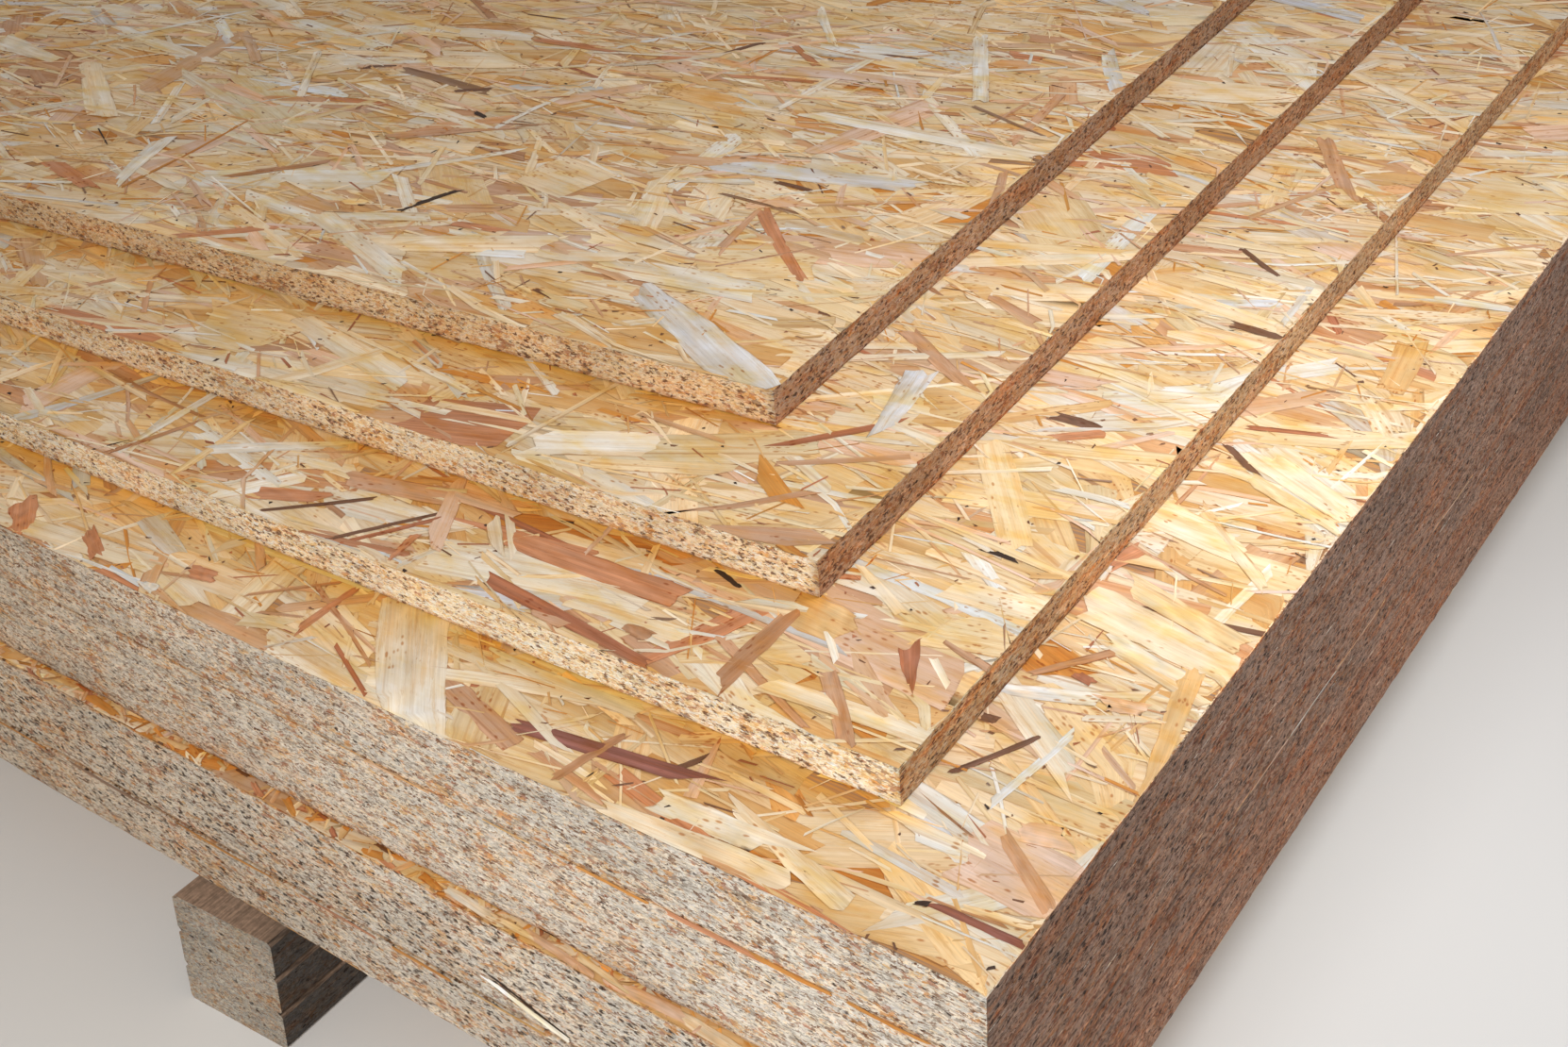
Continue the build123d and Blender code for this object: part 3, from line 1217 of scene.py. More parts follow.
@dataclass(frozen=True)
class SideStrand:
    """A strand that is frayed or split off a sawn side and stands a little proud of it.

    Attributes:
        side: the side
        start: one end, millimetres along that side and up from the board's near corner
        end: the other end
        wide: its width in millimetres
        tone: its tone
        proud: how far it stands out
        bright: a multiplier for its tone
        rings: how strongly its growth rings show
        inset: how far it stays from the board's faces
    """

    side: Side
    start: Pair
    end: Pair
    wide: float
    tone: Tone
    proud: float = 0.1 * MM
    bright: float = 1.0
    rings: float = 0.4
    inset: float = 0.2 * MM

    def lay(self, rng: Chance, place: Place, sheets: Sheets) -> None:
        """Lays the strand against its side.

        Args:
            rng: the seeded source of chance
            place: the board
            sheets: gathers it
        """
        plain = PlainStrand(self.start, self.end, self.wide, self.tone).strewn(1.0)
        flat, rim = PLAIN_SHAPE.outline(rng, plain)
        turn = plain.turn[0]
        along = plain.place[0, 0] + flat[..., 0] * math.cos(turn) - flat[..., 1] * math.sin(turn)
        up = plain.place[0, 1] + flat[..., 0] * math.sin(turn) + flat[..., 1] * math.cos(turn)
        up = np.clip(up, self.inset, place.thickness - self.inset)
        out = -self.proud * np.linspace(0.3, 1, flat.shape[1])[None, :, None] + 0 * up
        tint = np.array([*self.tone.linear, self.rings]) * np.ones((*flat.shape[:3], 1))
        stray = rng.normal(0, PLAIN_SHAPE.unevenness, (*flat.shape[:3], 1))
        tint[..., :3] *= self.bright * (1 + stray)
        if self.side is Side.LONG:
            parts = (place.world(np.stack([out, along, up], -1)), tint, flat, 0 * rim + NO_RIM)
            sheets.add(*(part[:, :, ::-1] for part in parts))
        else:
            sheets.add(place.world(np.stack([along, out, up], -1)), tint, flat, 0 * rim + NO_RIM)


def frayed(side: Side, height: float,
           runs: "tuple[tuple[float, float, float, Tone, float], ...]") -> tuple[SideStrand, ...]:
    """Strands frayed along an arris, one after another.

    Args:
        side: the side
        height: how high above the board's underside they lie, in millimetres
        runs: where each starts and ends along the side, its width, its tone and how bright it is

    Returns:
        The strands.
    """
    return tuple(SideStrand(side, (start, height - 0.2), (end, height + 0.2), wide, tone, bright=bright)
                 for start, end, wide, tone, bright in runs)


SIDE_STRANDS = {
    "lower_book_board_1": (
        SideStrand(Side.LONG, (193, 4), (240, 19), 1.6, Tone.BARK),
        SideStrand(Side.LONG, (193, 2), (239, 16), 4.2, Tone.CHALK, 0.9 * MM, 1.08),
        *frayed(Side.SHORT, 1.2, (
            (290, 330, 2.2, Tone.RUSSET, 0.8), (342, 372, 1.6, Tone.FOX, 0.8),
            (384, 420, 2.6, Tone.RUSSET, 0.7), (436, 470, 2.0, Tone.FOX, 0.8),
            (486, 540, 2.8, Tone.RUSSET, 0.8), (570, 640, 2.2, Tone.FOX, 0.8),
            (120, 150, 1.8, Tone.RUSSET, 0.7), (180, 235, 1.6, Tone.UMBER, 0.9),
        )),
    ),
    "bottom_book_board_2": frayed(Side.LONG, 16.6, (
        (206, 250, 2.0, Tone.HONEY, 0.8), (262, 300, 2.6, Tone.AMBER, 0.8),
        (310, 362, 2.0, Tone.FOX, 0.8), (380, 452, 2.2, Tone.AMBER, 0.7),
        (470, 540, 2.6, Tone.COCOA, 0.8), (560, 610, 2.0, Tone.AMBER, 0.7),
    )),
    "middle_book_board_1": frayed(Side.SHORT, 0.9, (
        (222, 262, 1.0, Tone.BLUSH, 1.0), (260, 318, 1.1, Tone.PEARL, 0.9),
        (316, 372, 1.0, Tone.BLUSH, 1.0), (78, 104, 2.0, Tone.UMBER, 0.8),
        (112, 136, 1.6, Tone.RUSSET, 0.7), (142, 172, 2.2, Tone.UMBER, 0.8),
        (178, 208, 1.4, Tone.RUSSET, 0.8), (380, 402, 1.6, Tone.RUSSET, 0.8),
        (412, 446, 1.6, Tone.FOX, 0.9), (460, 500, 1.2, Tone.BLUSH, 0.9),
        (520, 560, 1.8, Tone.RUSSET, 0.8),
    )),
    "middle_book_board_3": frayed(Side.LONG, 16.4, (
        (22, 56, 2.0, Tone.AMBER, 0.9), (62, 98, 2.8, Tone.AMBER, 1.0),
        (92, 138, 3.2, Tone.FOX, 1.0), (146, 182, 2.0, Tone.AMBER, 1.0),
        (206, 232, 1.2, Tone.HONEY, 0.9), (262, 300, 1.4, Tone.TAN, 1.0),
    )),
}


@dataclass
class StrandLay:
    """Lays every kind of strand over a pressed face.

    Attributes:
        depth: how deep the lowest strand lies under the face
        crown: how far a strand's long edges dip under its middle
        tilt: how far a strand leans, over its own size
        margin: how far strands stop short of the board's true edge
        bounce_reach: how far out from the foot of the board above the painted shade and warm bounce light
            reach on the face
        bounce_shade_tone: what a tint is multiplied by there, for that painted shade and bounce light
        sunk_shade_tone: what the deepest strand's tint is multiplied by: painted shade in the recesses
            under the upper strands, with the resin-soaked amber of the deep wood
        sunk_level: the level from which on a strand isn't sunk
        lean: how far the brightness changes from one side of a strand to the other
        most_stray: how far it may stray inside one strand
        yellowed: mean and spread of how far a strand's wood is yellowed
    """

    depth: float = 0.55 * MM
    crown: float = 0.05 * MM
    tilt: float = 0.05 * MM
    margin: float = 0.15 * MM
    bounce_reach: float = 13 * MM
    bounce_shade_tone: Triple = (0.99, 0.70, 0.20)
    sunk_shade_tone: Triple = (0.93, 0.82, 0.68)
    sunk_level: float = 1 / 1.4
    lean: float = 0.05
    most_stray: float = 0.4
    yellowed: Pair = (0.02, 0.06)

    def lay(self, rng: Chance, kinds: tuple[StrandKind, ...], place: Place, face: Face,
            cover: "Place | None", sheets: Sheets) -> None:
        """Strews and lays the strands of several kinds.

        Args:
            rng: the seeded source of chance
            kinds: which kinds, from the bottom up
            place: the board
            face: which of its faces
            cover: the board that lies on that face, if one does
            sheets: gathers them
        """
        for kind in kinds:
            strewn = kind.strew(rng, place.width, place.length)
            if cover is not None:
                strewn = self.shown(strewn, place, cover)
            if len(strewn.turn) > 0:
                colours = kind.palette.draw(rng, len(strewn.turn))
                self.put(rng, kind, strewn, colours, place, face, cover, sheets)

    def put(self, rng: Chance, kind: StrandKind, strewn: Strewn, colours: np.ndarray,
            place: Place, face: Face, cover: "Place | None", sheets: Sheets) -> None:
        """Lays chosen strands.

        Args:
            rng: the seeded source of chance
            kind: how they are shaped
            strewn: where they lie
            colours: (count, 4) colours
            place: the board
            face: which of its faces
            cover: the board that lies on that face, if one does
            sheets: gathers them
        """
        flat, rim = kind.outline(rng, strewn)
        local = self.set_down(rng, strewn, flat, place)
        wood = flat + rng.uniform(0, WOOD_REACH, (len(flat), 1, 1, 2))
        shape = (*flat.shape[:3], 1)
        tint = colours[:, None, None, :] * np.ones(shape)
        side = np.linspace(-1, 1, kind.columns)[None, None, :, None]
        tint[..., :3] *= 1 + side * rng.normal(0, self.lean, (len(flat), 1, 1, 1))
        stray = rng.normal(0, kind.unevenness, shape)
        tint[..., :3] *= 1 + np.clip(stray, -self.most_stray, self.most_stray)
        tint[..., :3] *= 1 - rng.normal(*self.yellowed, shape) * YELLOWING
        # painted shade: deeper strands are darker and more amber, as in the recesses between the upper
        # strands
        sunk = (1 - np.clip(strewn.level / self.sunk_level, 0, 1))[:, None, None, None]
        tint[..., :3] *= 1 - sunk * (1 - np.array(self.sunk_shade_tone))
        if face is Face.TOP:
            local[..., 2] += place.thickness - self.depth
        else:
            local[..., 2] = self.depth - local[..., 2]
            local, wood, tint, rim = (part[:, :, ::-1] for part in (local, wood, tint, rim))
        world = place.world(local)
        # painted shade and warm bounce light on the face at the foot of the board above
        if cover is not None and face is Face.TOP:
            near = np.exp(-(cover.beside(world) / self.bounce_reach) ** 1.5)[..., None]
            tint = np.concatenate([tint[..., :3] * (1 - near * (1 - np.array(self.bounce_shade_tone))),
                                   tint[..., 3:]], -1)
        sheets.add(world, tint, wood, rim)

    def shown(self, strewn: Strewn, place: Place, cover: Place) -> Strewn:
        """Leaves out the strands that lie wholly under what covers the face.

        Args:
            strewn: the strands
            place: the board
            cover: the board that lies on the face

        Returns:
            The strands that show.
        """
        middles = place.world(np.column_stack([strewn.place, np.zeros(len(strewn.turn))]))
        return strewn.kept(cover.outside(middles) > -(strewn.long + strewn.wide) / 2)

    def set_down(self, rng: Chance, strewn: Strewn, flat: np.ndarray,
                 place: Place) -> np.ndarray:
        """Turns each outline, puts it in its place and keeps it on the board.

        Args:
            rng: the seeded source of chance
            strewn: the strands
            flat: their outlines
            place: the board

        Returns:
            (count, rows, columns, 3) places from the near corner, and up from the tray's bottom.
        """
        count, rows, columns = flat.shape[:3]
        turn = strewn.turn[:, None, None]
        x, y = flat[..., 0], flat[..., 1]
        across = strewn.place[:, 0, None, None] + x * np.cos(turn) - y * np.sin(turn)
        along = strewn.place[:, 1, None, None] + x * np.sin(turn) + y * np.cos(turn)
        step = np.linspace(-1, 1, rows)[None, :, None]
        side = np.linspace(-1, 1, columns)[None, None, :]
        middle = strewn.level[:, None, None] * self.depth
        height = middle - self.crown * side ** 2 - self.crown * step ** 4
        height = height + rng.normal(0, self.tilt, (count, 1, 1)) * step
        height = height + rng.normal(0, self.tilt, (count, 1, 1)) * side
        trim = rng.uniform(self.margin, self.margin * 2.5, (count, 1, 1))
        return np.stack([np.clip(across, trim, place.width - trim),
                         np.clip(along, trim, place.length - trim),
                         np.clip(height, 0.01 * MM, self.depth - 0.005 * MM)], -1)


@dataclass
class BoardBody:
    """A board's body: rough sawn walls, and a shallow tray for the strands on each bare face.

    Attributes:
        place: where the board lies
        bare: the faces that show
        seam: tints for the foot and the head of the walls, where a book begins or ends, and the painted
            contact shadow at a step board's foot
        tray: depth of the tray
        spacing: distance between the wall's points along the edge
        roughness: how far the saw cut wanders inwards
        chip: how far the arris is chipped down on the upper face, if that is bare
        foot_chip: how far the arris is chipped up on the underside, if that is bare
        lip: width of the rim round the tray
        seam_height: how far a seam's tint reaches up or down
        patch: how many points long a patch of a seam's tint is
        wall_light_tone: what the walls' finish is multiplied by: painted light, set board by board
        end_shade_tone: what it is multiplied by on the two short sides: painted light and shade set board
            by board, on top of their own colour
        end_seam_and_highlight: tints for the foot and the head of the short sides, instead of those in
            seam; the pale ones are partly painted highlight along the arris
        falloff_shade_tone: what it is multiplied by along the long sides, away from the near end: painted
            shade, darker where the light falls off
        fade: where that starts and where it is whole, from the near end
        waist: the heights of the walls' two middle points, as shares of the thickness
        foot_rim: what the tint is multiplied by on the rim inside the foot, with a fourth number
        head_rim: the same inside the head
    """

    place: Place
    bare: set[Face]
    seam: dict[Face, Triple]
    tray: float
    spacing: float = 6 * MM
    roughness: float = 0.30 * MM
    chip: float = 0.45 * MM
    foot_chip: float = 0.45 * MM
    lip: float = 1.1 * MM
    seam_height: float = 1.8 * MM
    patch: int = 7
    wall_light_tone: Triple = NO_TINT
    end_shade_tone: Triple = NO_TINT
    end_seam_and_highlight: dict[Face, Triple] = field(default_factory=dict)
    falloff_shade_tone: Triple = NO_TINT
    fade: Pair = (0.12, 0.55)
    waist: Pair = (0.35, 0.65)
    foot_rim: tuple[float, ...] = (0.6, 0.45, 0.3, 1)
    head_rim: tuple[float, ...] = (0.9, 0.78, 0.6, 1)

    def loop(self) -> tuple[np.ndarray, np.ndarray]:
        """Walks once round the outline.

        Returns:
            (points, 2) places, and the directions inwards, which lean both ways at a corner.
        """
        width, length = self.place.width, self.place.length
        corners = [(0, 0), (width, 0), (width, length), (0, length)]
        inward = [(0, 1), (-1, 0), (0, -1), (1, 0)]
        places, normals = [], []
        for k, (start, normal) in enumerate(zip(corners, inward)):
            end = corners[(k + 1) % 4]
            count = int(math.hypot(end[0] - start[0], end[1] - start[1]) / self.spacing)
            share = np.linspace(0, 1, count, endpoint=False)[:, None]
            places.append(np.array(start) + share * (np.array(end) - np.array(start)))
            turned = np.tile(np.array(normal, float), (count, 1))
            turned[0] += inward[k - 1]
            normals.append(turned)
        return np.concatenate(places), np.concatenate(normals)

    def patches(self, rng: Chance, count: int) -> np.ndarray:
        """How much of a seam's tint each point round the outline has.

        Args:
            rng: the seeded source of chance
            count: how many points

        Returns:
            (count, 1) shares from 0 to 1, which change in patches.
        """
        rough = rng.uniform(0, 1, count + self.patch)
        smooth = np.convolve(rough, np.ones(self.patch) / self.patch, "same")[:count]
        return np.clip((smooth - 0.5) * 4 + 0.75, 0.2, 1)[:, None]

    def build(self, name: str, rng: Chance, sawn: Material, tray: Material) -> Thing:
        """Builds the body.

        Args:
            name: the piece's name
            rng: the seeded source of chance
            sawn: the walls' finish
            tray: the tray floors' finish

        Returns:
            The object.
        """
        outline, inward = self.loop()
        count = len(outline)
        thick = self.place.thickness
        foot_chip = self.foot_chip if Face.UNDERSIDE in self.bare else 0.0
        head_chip = self.chip if Face.TOP in self.bare else 0.0
        foot = rng.uniform(0, 1, count) ** 2 * foot_chip
        head = thick - rng.uniform(0, 1, count) ** 2 * head_chip
        waist = [0 * foot + thick * share for share in self.waist]
        heights = [foot, foot + self.seam_height, *waist, head - self.seam_height, head]
        at_end = np.abs(inward[:, 1:]) > 0.5
        # painted shade: the long sides grow darker away from the near end, as the light falls off
        falloff = np.clip((outline[:, 1:] - self.fade[0]) / (self.fade[1] - self.fade[0]), 0, 1)
        falloff_shade_tone = 1 - falloff * (1 - np.array(self.falloff_shade_tone))
        base_tone = np.where(at_end, np.array(self.end_shade_tone), falloff_shade_tone) * self.wall_light_tone
        rings, tints = [], []
        for number, height in enumerate(heights):
            inset = rng.uniform(0, self.roughness, (count, 1))
            ring = outline + inward * inset
            rings.append(np.column_stack([ring, height]))
            seam = {0: Face.UNDERSIDE, len(heights) - 1: Face.TOP}.get(number)
            share = self.patches(rng, count)
            plain = self.seam.get(seam, NO_TINT)
            full = np.where(at_end, np.array(self.end_seam_and_highlight.get(seam, plain)), np.array(plain))
            tints.append(np.column_stack([(1 - share * (1 - full)) * base_tone, np.ones(count)]))
        foot_floor = self.tray if Face.UNDERSIDE in self.bare else 0.0
        head_floor = thick - (self.tray if Face.TOP in self.bare else 0.0)
        inner = outline + inward * self.lip
        rings.insert(0, np.column_stack([inner, np.full(count, foot_floor)]))
        rings.append(np.column_stack([inner, np.full(count, head_floor)]))
        tints.insert(0, tints[0] * self.foot_rim)
        tints.append(tints[-1] * self.head_rim)
        index = np.arange(len(rings) * count).reshape(len(rings), count)
        after = np.roll(index, -1, axis=1)
        quads = np.stack([index[:-1], after[:-1], after[1:], index[1:]], -1).reshape(-1, 4)
        faces = [tuple(face) for face in quads.tolist()]
        faces.append(tuple(index[0, ::-1].tolist()))
        faces.append(tuple(index[-1].tolist()))
        points = self.place.world(np.concatenate(rings))
        thing = mesh_object(name, points, faces, sawn)
        thing.data.materials.append(tray)
        for floor in thing.data.polygons[-2:]:
            floor.material_index = 1
        paint_points(thing, np.concatenate(tints))
        return thing


@dataclass
class Board:
    """One pressed board, with its body and the strands of its bare faces.

    Attributes:
        name: its node
        place: where it lies
        seed: its own seed
        bare: which faces show, and the place of what covers each, if anything does
        seam: tints for its walls' foot and head
        lay: how its strands are laid
        ledge: where less than this of the face shows, it is a ledge
        ledge_bounce_reach: how far the painted shade and warm bounce light reach on a ledge
        ragged_foot: how far the lowest board's foot is chipped
    """

    name: str
    place: Place
    seed: int
    bare: dict[Face, "Place | None"]
    seam: dict[Face, Triple]
    lay: StrandLay = field(default_factory=StrandLay)
    ledge: float = 20 * MM
    ledge_bounce_reach: float = 1.3 * MM
    ragged_foot: float = 1.6 * MM

    def kinds(self, face: Face) -> tuple[StrandKind, ...]:
        """The kinds of strand on one face: fewer below, and loose flakes where only a ledge shows."""
        cover = self.bare[face]
        if cover is None:
            return PRESSED_FACE if face is Face.TOP else HIDDEN_FACE
        shift = np.abs((cover.corner - self.place.corner)[:2]).max()
        return LEDGE_FACE if shift < self.ledge else PRESSED_FACE

    def dress(self, strand: Material, sawn: Material, tray: Material) -> list[Thing]:
        """Builds the board's pieces and ties them to the frame.

        Args:
            strand: the strands' finish
            sawn: the sides' finish
            tray: the finish of what lies under the strands

        Returns:
            The pieces.
        """
        rng = np.random.default_rng(self.seed)
        body = BoardBody(self.place, set(self.bare), self.seam, self.lay.depth,
                         wall_light_tone=WALL_LIGHT_TONES.get(self.name, NO_TINT),
                         end_shade_tone=END_SHADE_TONES.get(self.name, NO_TINT),
                         end_seam_and_highlight=END_SEAMS_AND_HIGHLIGHTS.get(self.name, {}))
        if "_book_" in self.name:
            body.falloff_shade_tone = BOOK_FALLOFF_SHADE
        else:
            body.falloff_shade_tone, body.fade = STEP_FALLOFF_SHADE, (0.0, 0.4)
        if self.bare.get(Face.UNDERSIDE, self.place) is None:
            body.foot_chip = self.ragged_foot
        if self.name in LEDGE_BOARDS:
            body.chip = body.foot_chip = self.ragged_foot
        made = [body.build(self.name + "_body", rng, sawn, tray)]
        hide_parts(self.name)
        for face, cover in self.bare.items():
            sheets = Sheets()
            kinds = self.kinds(face)
            lay = replace(self.lay, bounce_reach=self.ledge_bounce_reach) if kinds is LEDGE_FACE else self.lay
            lay.lay(rng, kinds, self.place, face, cover, sheets)
            if face is Face.TOP:
                chosen = [PlainStrand(*row) for row in PLAIN_STRANDS.get(self.name, ())]
                for number, plain in enumerate(chosen):
                    colour = np.array([[*plain.tone.linear, PLAIN_RINGS]])
                    level = PLAIN_LEVEL + (1 - PLAIN_LEVEL) * number / len(chosen)
                    lay.put(rng, PLAIN_SHAPE, plain.strewn(level), colour, self.place, face, cover,
                            sheets)
            made.append(sheets.build(f"{self.name}_{face.name.lower()}_strands", strand, True))
        if self.name in SIDE_STRANDS:
            sheets = Sheets()
            for frayed_strand in SIDE_STRANDS[self.name]:
                frayed_strand.lay(rng, self.place, sheets)
            made.append(sheets.build(self.name + "_side_strands", strand, True))
        for piece in made:
            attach(piece, "root")
        LOG.info("%s: %s", self.name, ", ".join(f"{p.name} {len(p.data.polygons)} faces" for p in made))
        return made


@dataclass(frozen=True)
class Viewpoint:
    """Where the camera stands, from the near top corner of the books.

    Attributes:
        stand: metres across, along and up
        heading: degrees from across towards along
        dip: degrees under the horizon
        roll: degrees
        focal: focal length in pixels of the photograph
    """

    stand: Triple
    heading: float
    dip: float
    roll: float
    focal: float

    def place(self, corner: Vector) -> Thing:
        """Makes the camera.

        Args:
            corner: the near top corner of the books

        Returns:
            The camera object.
        """
        turn, dip, roll = (math.radians(angle) for angle in (self.heading, self.dip, self.roll))
        ahead = Vector((math.cos(dip) * math.cos(turn), math.cos(dip) * math.sin(turn), -math.sin(dip)))
        level = Vector((math.sin(turn), -math.cos(turn), 0))
        above = level.cross(ahead)
        right = math.cos(roll) * level + math.sin(roll) * above
        up = -math.sin(roll) * level + math.cos(roll) * above
        data = bpy.data.cameras.new("camera")
        data.sensor_width = 36.0
        data.lens = data.sensor_width * self.focal / IMAGE_WIDTH
        data.clip_start, data.clip_end = 0.01, 100
        camera = bpy.data.objects.new("camera", data)
        matrix = Matrix((right, up, -ahead)).transposed().to_4x4()
        matrix.translation = corner + Vector(self.stand)
        camera.matrix_world = matrix
        bpy.context.scene.collection.objects.link(camera)
        bpy.context.scene.camera = camera
        return camera


@dataclass(frozen=True)
class Lamp:
    """A soft box.

    Attributes:
        name: its name
        stand: where it stands, from the near top corner of the books
        aim: what it points at, from the same corner
        size: its side in metres
        power: watts
        colour: its linear colour
        spread: how wide its light fans out, in degrees
        sheen: whether it shows in the shine of the wood
    """

    name: str
    stand: Triple
    aim: Triple
    size: float
    power: float
    colour: Triple
    spread: float = 180.0
    sheen: bool = True

    def place(self, corner: Vector) -> None:
        """Makes the lamp, from the near top corner of the books."""
        data = bpy.data.lights.new(self.name, "AREA")
        data.size, data.energy, data.color = self.size, self.power, self.colour
        data.spread = math.radians(self.spread)
        lamp = bpy.data.objects.new(self.name, data)
        lamp.location = corner + Vector(self.stand)
        towards = Vector(self.aim) - Vector(self.stand)
        lamp.rotation_euler = towards.to_track_quat("-Z", "Y").to_euler()
        lamp.visible_camera = False
        lamp.visible_glossy = self.sheen
        bpy.context.scene.collection.objects.link(lamp)


@dataclass
class Studio:
    """The floor, the light and the camera.

    Attributes:
        corner: the near top corner of the books
        view: the camera's viewpoint
        lamps: the soft boxes
        sky: brightness of the light from all round
        floor_size: the floor's side
    """

    corner: Vector
    view: Viewpoint
    lamps: list[Lamp]
    sky: float
    floor_size: float = 40.0

    def build(self) -> None:
        """Makes everything that isn't part of the stack."""
        self.view.place(self.corner)
        for lamp in self.lamps:
            lamp.place(self.corner)
        world = bpy.data.worlds.new("sky")
        world.use_nodes = True
        background = world.node_tree.nodes["Background"]
        background.inputs["Color"].default_value = (1.0, 0.965, 0.92, 1)
        background.inputs["Strength"].default_value = self.sky
        bpy.context.scene.world = world
        half = self.floor_size / 2
        corners = np.array([(-half, -half, 0), (half, -half, 0), (half, half, 0), (-half, half, 0)])
        finish = FloorFinish("pale_floor", (0.78, 0.77, 0.75)).material()
        mesh_object("floor", corners, [(0, 1, 2, 3)], finish)
        bpy.context.scene.view_settings.view_transform = "Standard"


VIEW = Viewpoint(stand=(-337.5 * MM, -204.0 * MM, 458.8 * MM), heading=38.60, dip=34.37, roll=-5.19,
                 focal=1916.3)
LAMPS = [
    Lamp("left_box", (-0.95, -0.11, 0.72), (0.35, 0.4, 0), 0.6, 14, (1.0, 0.98, 0.96)),
    Lamp("right_box", (0.63, -0.24, 0.62), (0.35, 0.3, 0), 0.4, 3.4, (0.955, 0.98, 1.03)),
    Lamp("edge_box", (0.33, -0.04, 0.21), (0.30, 0.03, 0), 0.2, 0.35, (0.92, 1.0, 1.05)),
    Lamp("far_box", (0.75, 2.25, 1.4), (0.75, 2.25, 0), 0.8, 5, (1.0, 0.98, 0.96), 80, False),
    Lamp("back_box", (4.0, 5.0, 0.6), (1.0, 2.2, -0.1), 1.2, 60, (1.0, 0.98, 0.96), 120, False),
]
SEAM_AMBER = (0.86, 0.55, 0.25)
SEAM_BROWN = (0.50, 0.33, 0.22)
# painted contact shadow along the foot of each step board
FOOT_SHADOW = (0.62, 0.42, 0.28)
BOARD_ORDER = (
    "bottom_book_board_1", "bottom_book_board_2", "lower_book_board_1", "lower_book_board_2",
    "lower_book_board_3", "middle_book_board_1", "middle_book_board_2", "middle_book_board_3",
    "upper_book_board_1", "upper_book_board_2", "low_step_board", "middle_step_board", "top_board",
)
SEAMS = {
    "lower_book_board_1": {Face.UNDERSIDE: SEAM_BROWN},
    "lower_book_board_3": {Face.TOP: SEAM_AMBER},
    "middle_book_board_1": {Face.UNDERSIDE: SEAM_BROWN},
    "middle_book_board_3": {Face.TOP: SEAM_AMBER},
    "upper_book_board_1": {Face.UNDERSIDE: (0.74, 0.60, 0.48)},
    "low_step_board": {Face.UNDERSIDE: FOOT_SHADOW},
    "middle_step_board": {Face.UNDERSIDE: FOOT_SHADOW},
    "top_board": {Face.UNDERSIDE: FOOT_SHADOW},
}
LEDGE_BOARDS = ("lower_book_board_3", "middle_book_board_1")
# painted light: walls of the lower step boards made lighter, the top board's a little darker, as the light
# falls on them
WALL_LIGHT_TONES = {
    "top_board": (0.98, 0.92, 0.82), "middle_step_board": (1.14, 1.18, 1.18),
    "low_step_board": (1.20, 1.33, 1.44),
}
# painted shade and light on the short sides, set board by board on top of their own colour: darker on the
# step boards
END_SHADE_TONES = {
    "top_board": (0.59, 0.60, 0.66), "middle_step_board": (0.55, 0.48, 0.44),
    "low_step_board": (0.72, 0.68, 0.59), "upper_book_board_2": (0.90, 0.93, 0.95),
    "upper_book_board_1": (0.92, 0.94, 0.95),
    "middle_book_board_1": (1.02, 1.0, 0.97), "lower_book_board_1": (1.12, 1.02, 0.94),
    "bottom_book_board_1": (1.16, 1.06, 0.97), "bottom_book_board_2": (1.16, 1.05, 0.96),
}
# pale lines at a short side's foot or head: pale strand ends, with a painted highlight along the arris and
# the ledge
END_SEAMS_AND_HIGHLIGHTS = {
    "middle_book_board_1": {Face.UNDERSIDE: (1.9, 1.7, 1.6)},
    "bottom_book_board_2": {Face.TOP: (1.5, 1.6, 1.7)},
    "upper_book_board_2": {Face.TOP: (1.9, 1.5, 1.1)},
}
# painted shade along the long sides, away from the near end
BOOK_FALLOFF_SHADE = (0.78, 0.71, 0.63)
STEP_FALLOFF_SHADE = (0.76, 0.72, 0.68)
BEARER_SHARES = {
    Tone.BONE: 24, Tone.SILVER: 36, Tone.ASH: 20, Tone.TAN: 12, Tone.CREAM: 8, Tone.COCOA: 3, Tone.ROSE: 2,
}


def corner_of(place: Place) -> Vector:
    """The near corner of a board's upper face."""
    return Vector(place.corner) + Vector((0, 0, place.thickness))


def stands_off(lower: Place, upper: Place) -> bool:
    """Whether the upper board's corners don't lie on the lower one's."""
    shift = np.linalg.norm((upper.corner - lower.corner)[:2])
    return bool(shift > 3 * MM or abs(upper.across[1] - lower.across[1]) > 1e-4)


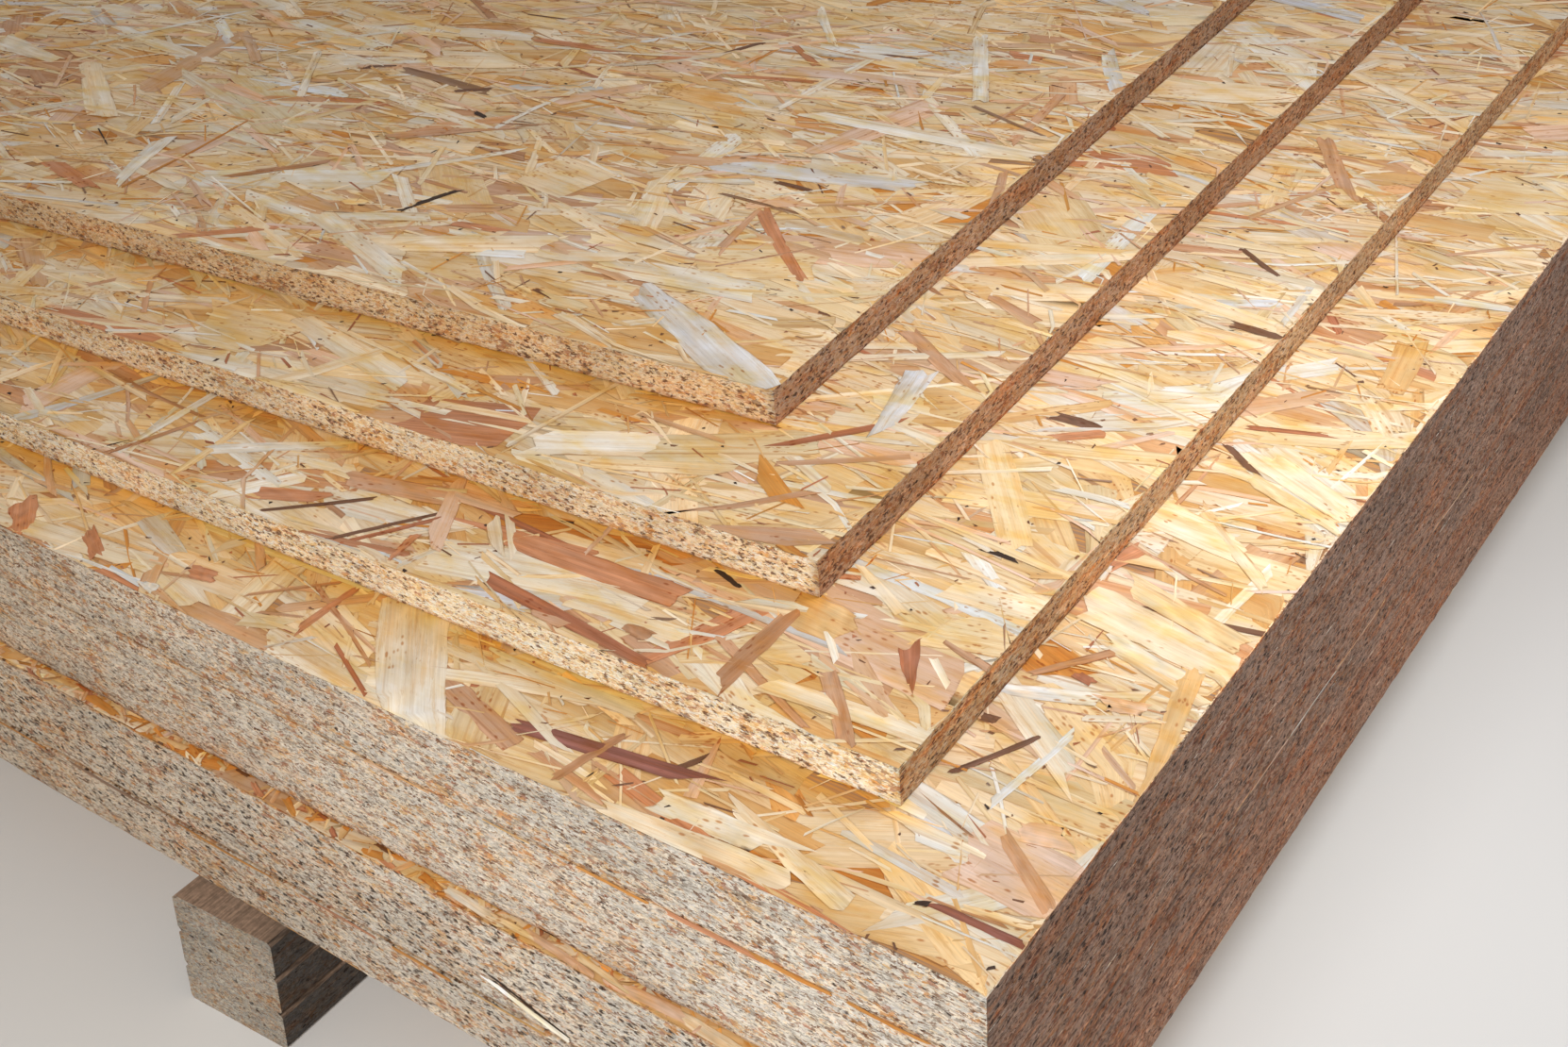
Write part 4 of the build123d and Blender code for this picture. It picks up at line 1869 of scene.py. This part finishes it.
def make_stack(nodes: dict[str, Thing]) -> dict[str, Place]:
    """Dresses every board.

    Args:
        nodes: the frame's nodes

    Returns:
        Each board's place.
    """
    places = {name: Place.of_node(nodes[name]) for name in BOARD_ORDER}
    strand = StrandFinish("strand_wood").material()
    tray = TrayFinish("stained_bed").material()
    book_side = SawnFinish("book_side", BOOK_SIDE, WARM_FLECKS).material()
    fresh_side = SawnFinish(
        "single_board_side", FRESH_SIDE, WARM_FLECKS, pit=(4.4 * MM, 4.4 * MM, 2.3 * MM), pitted=0.46,
        pit_tone=Tone.UMBER, across_shade_tone=(0.80, 0.62, 0.54),
    ).material()
    for level, name in enumerate(BOARD_ORDER):
        above = places[BOARD_ORDER[level + 1]] if level + 1 < len(BOARD_ORDER) else None
        below = places[BOARD_ORDER[level - 1]] if level > 0 else None
        bare = {}
        if above is None or stands_off(places[name], above):
            bare[Face.TOP] = above
        if below is None or stands_off(below, places[name]):
            bare[Face.UNDERSIDE] = below
        sawn = book_side if "_book_" in name else fresh_side
        board = Board(name, places[name], FIRST_SEED + level, bare, SEAMS.get(name, {}))
        board.dress(strand, sawn, tray)
    return places


def dress_bearers(nodes: dict[str, Thing]) -> None:
    """Gives the bearers' strips their finish."""
    finish = SawnFinish(
        "bearer_wood", BEARER_SHARES, WARM_FLECKS, fleck=(2.4 * MM, 2.4 * MM, 0.9 * MM), pitted=0.08,
        clustered=0.12, mottle=0.20, shade=0.52, across_shade_tone=(0.22, 0.22, 0.24), face_tone=Tone.BLUSH,
    ).material()
    for name, node in nodes.items():
        if name.startswith("bearer_"):
            node.data.materials.clear()
            node.data.materials.append(finish)
            LOG.info("%s: finished as it is", name)


def main() -> None:
    """Builds the studio and the stack, and reports each piece."""
    logging.basicConfig(level=logging.INFO, format="%(message)s")
    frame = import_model()
    places = make_stack(frame["nodes"])
    dress_bearers(frame["nodes"])
    Studio(corner_of(places["upper_book_board_2"]), VIEW, LAMPS, sky=0.30).build()


if __name__ == "__main__":
    main()
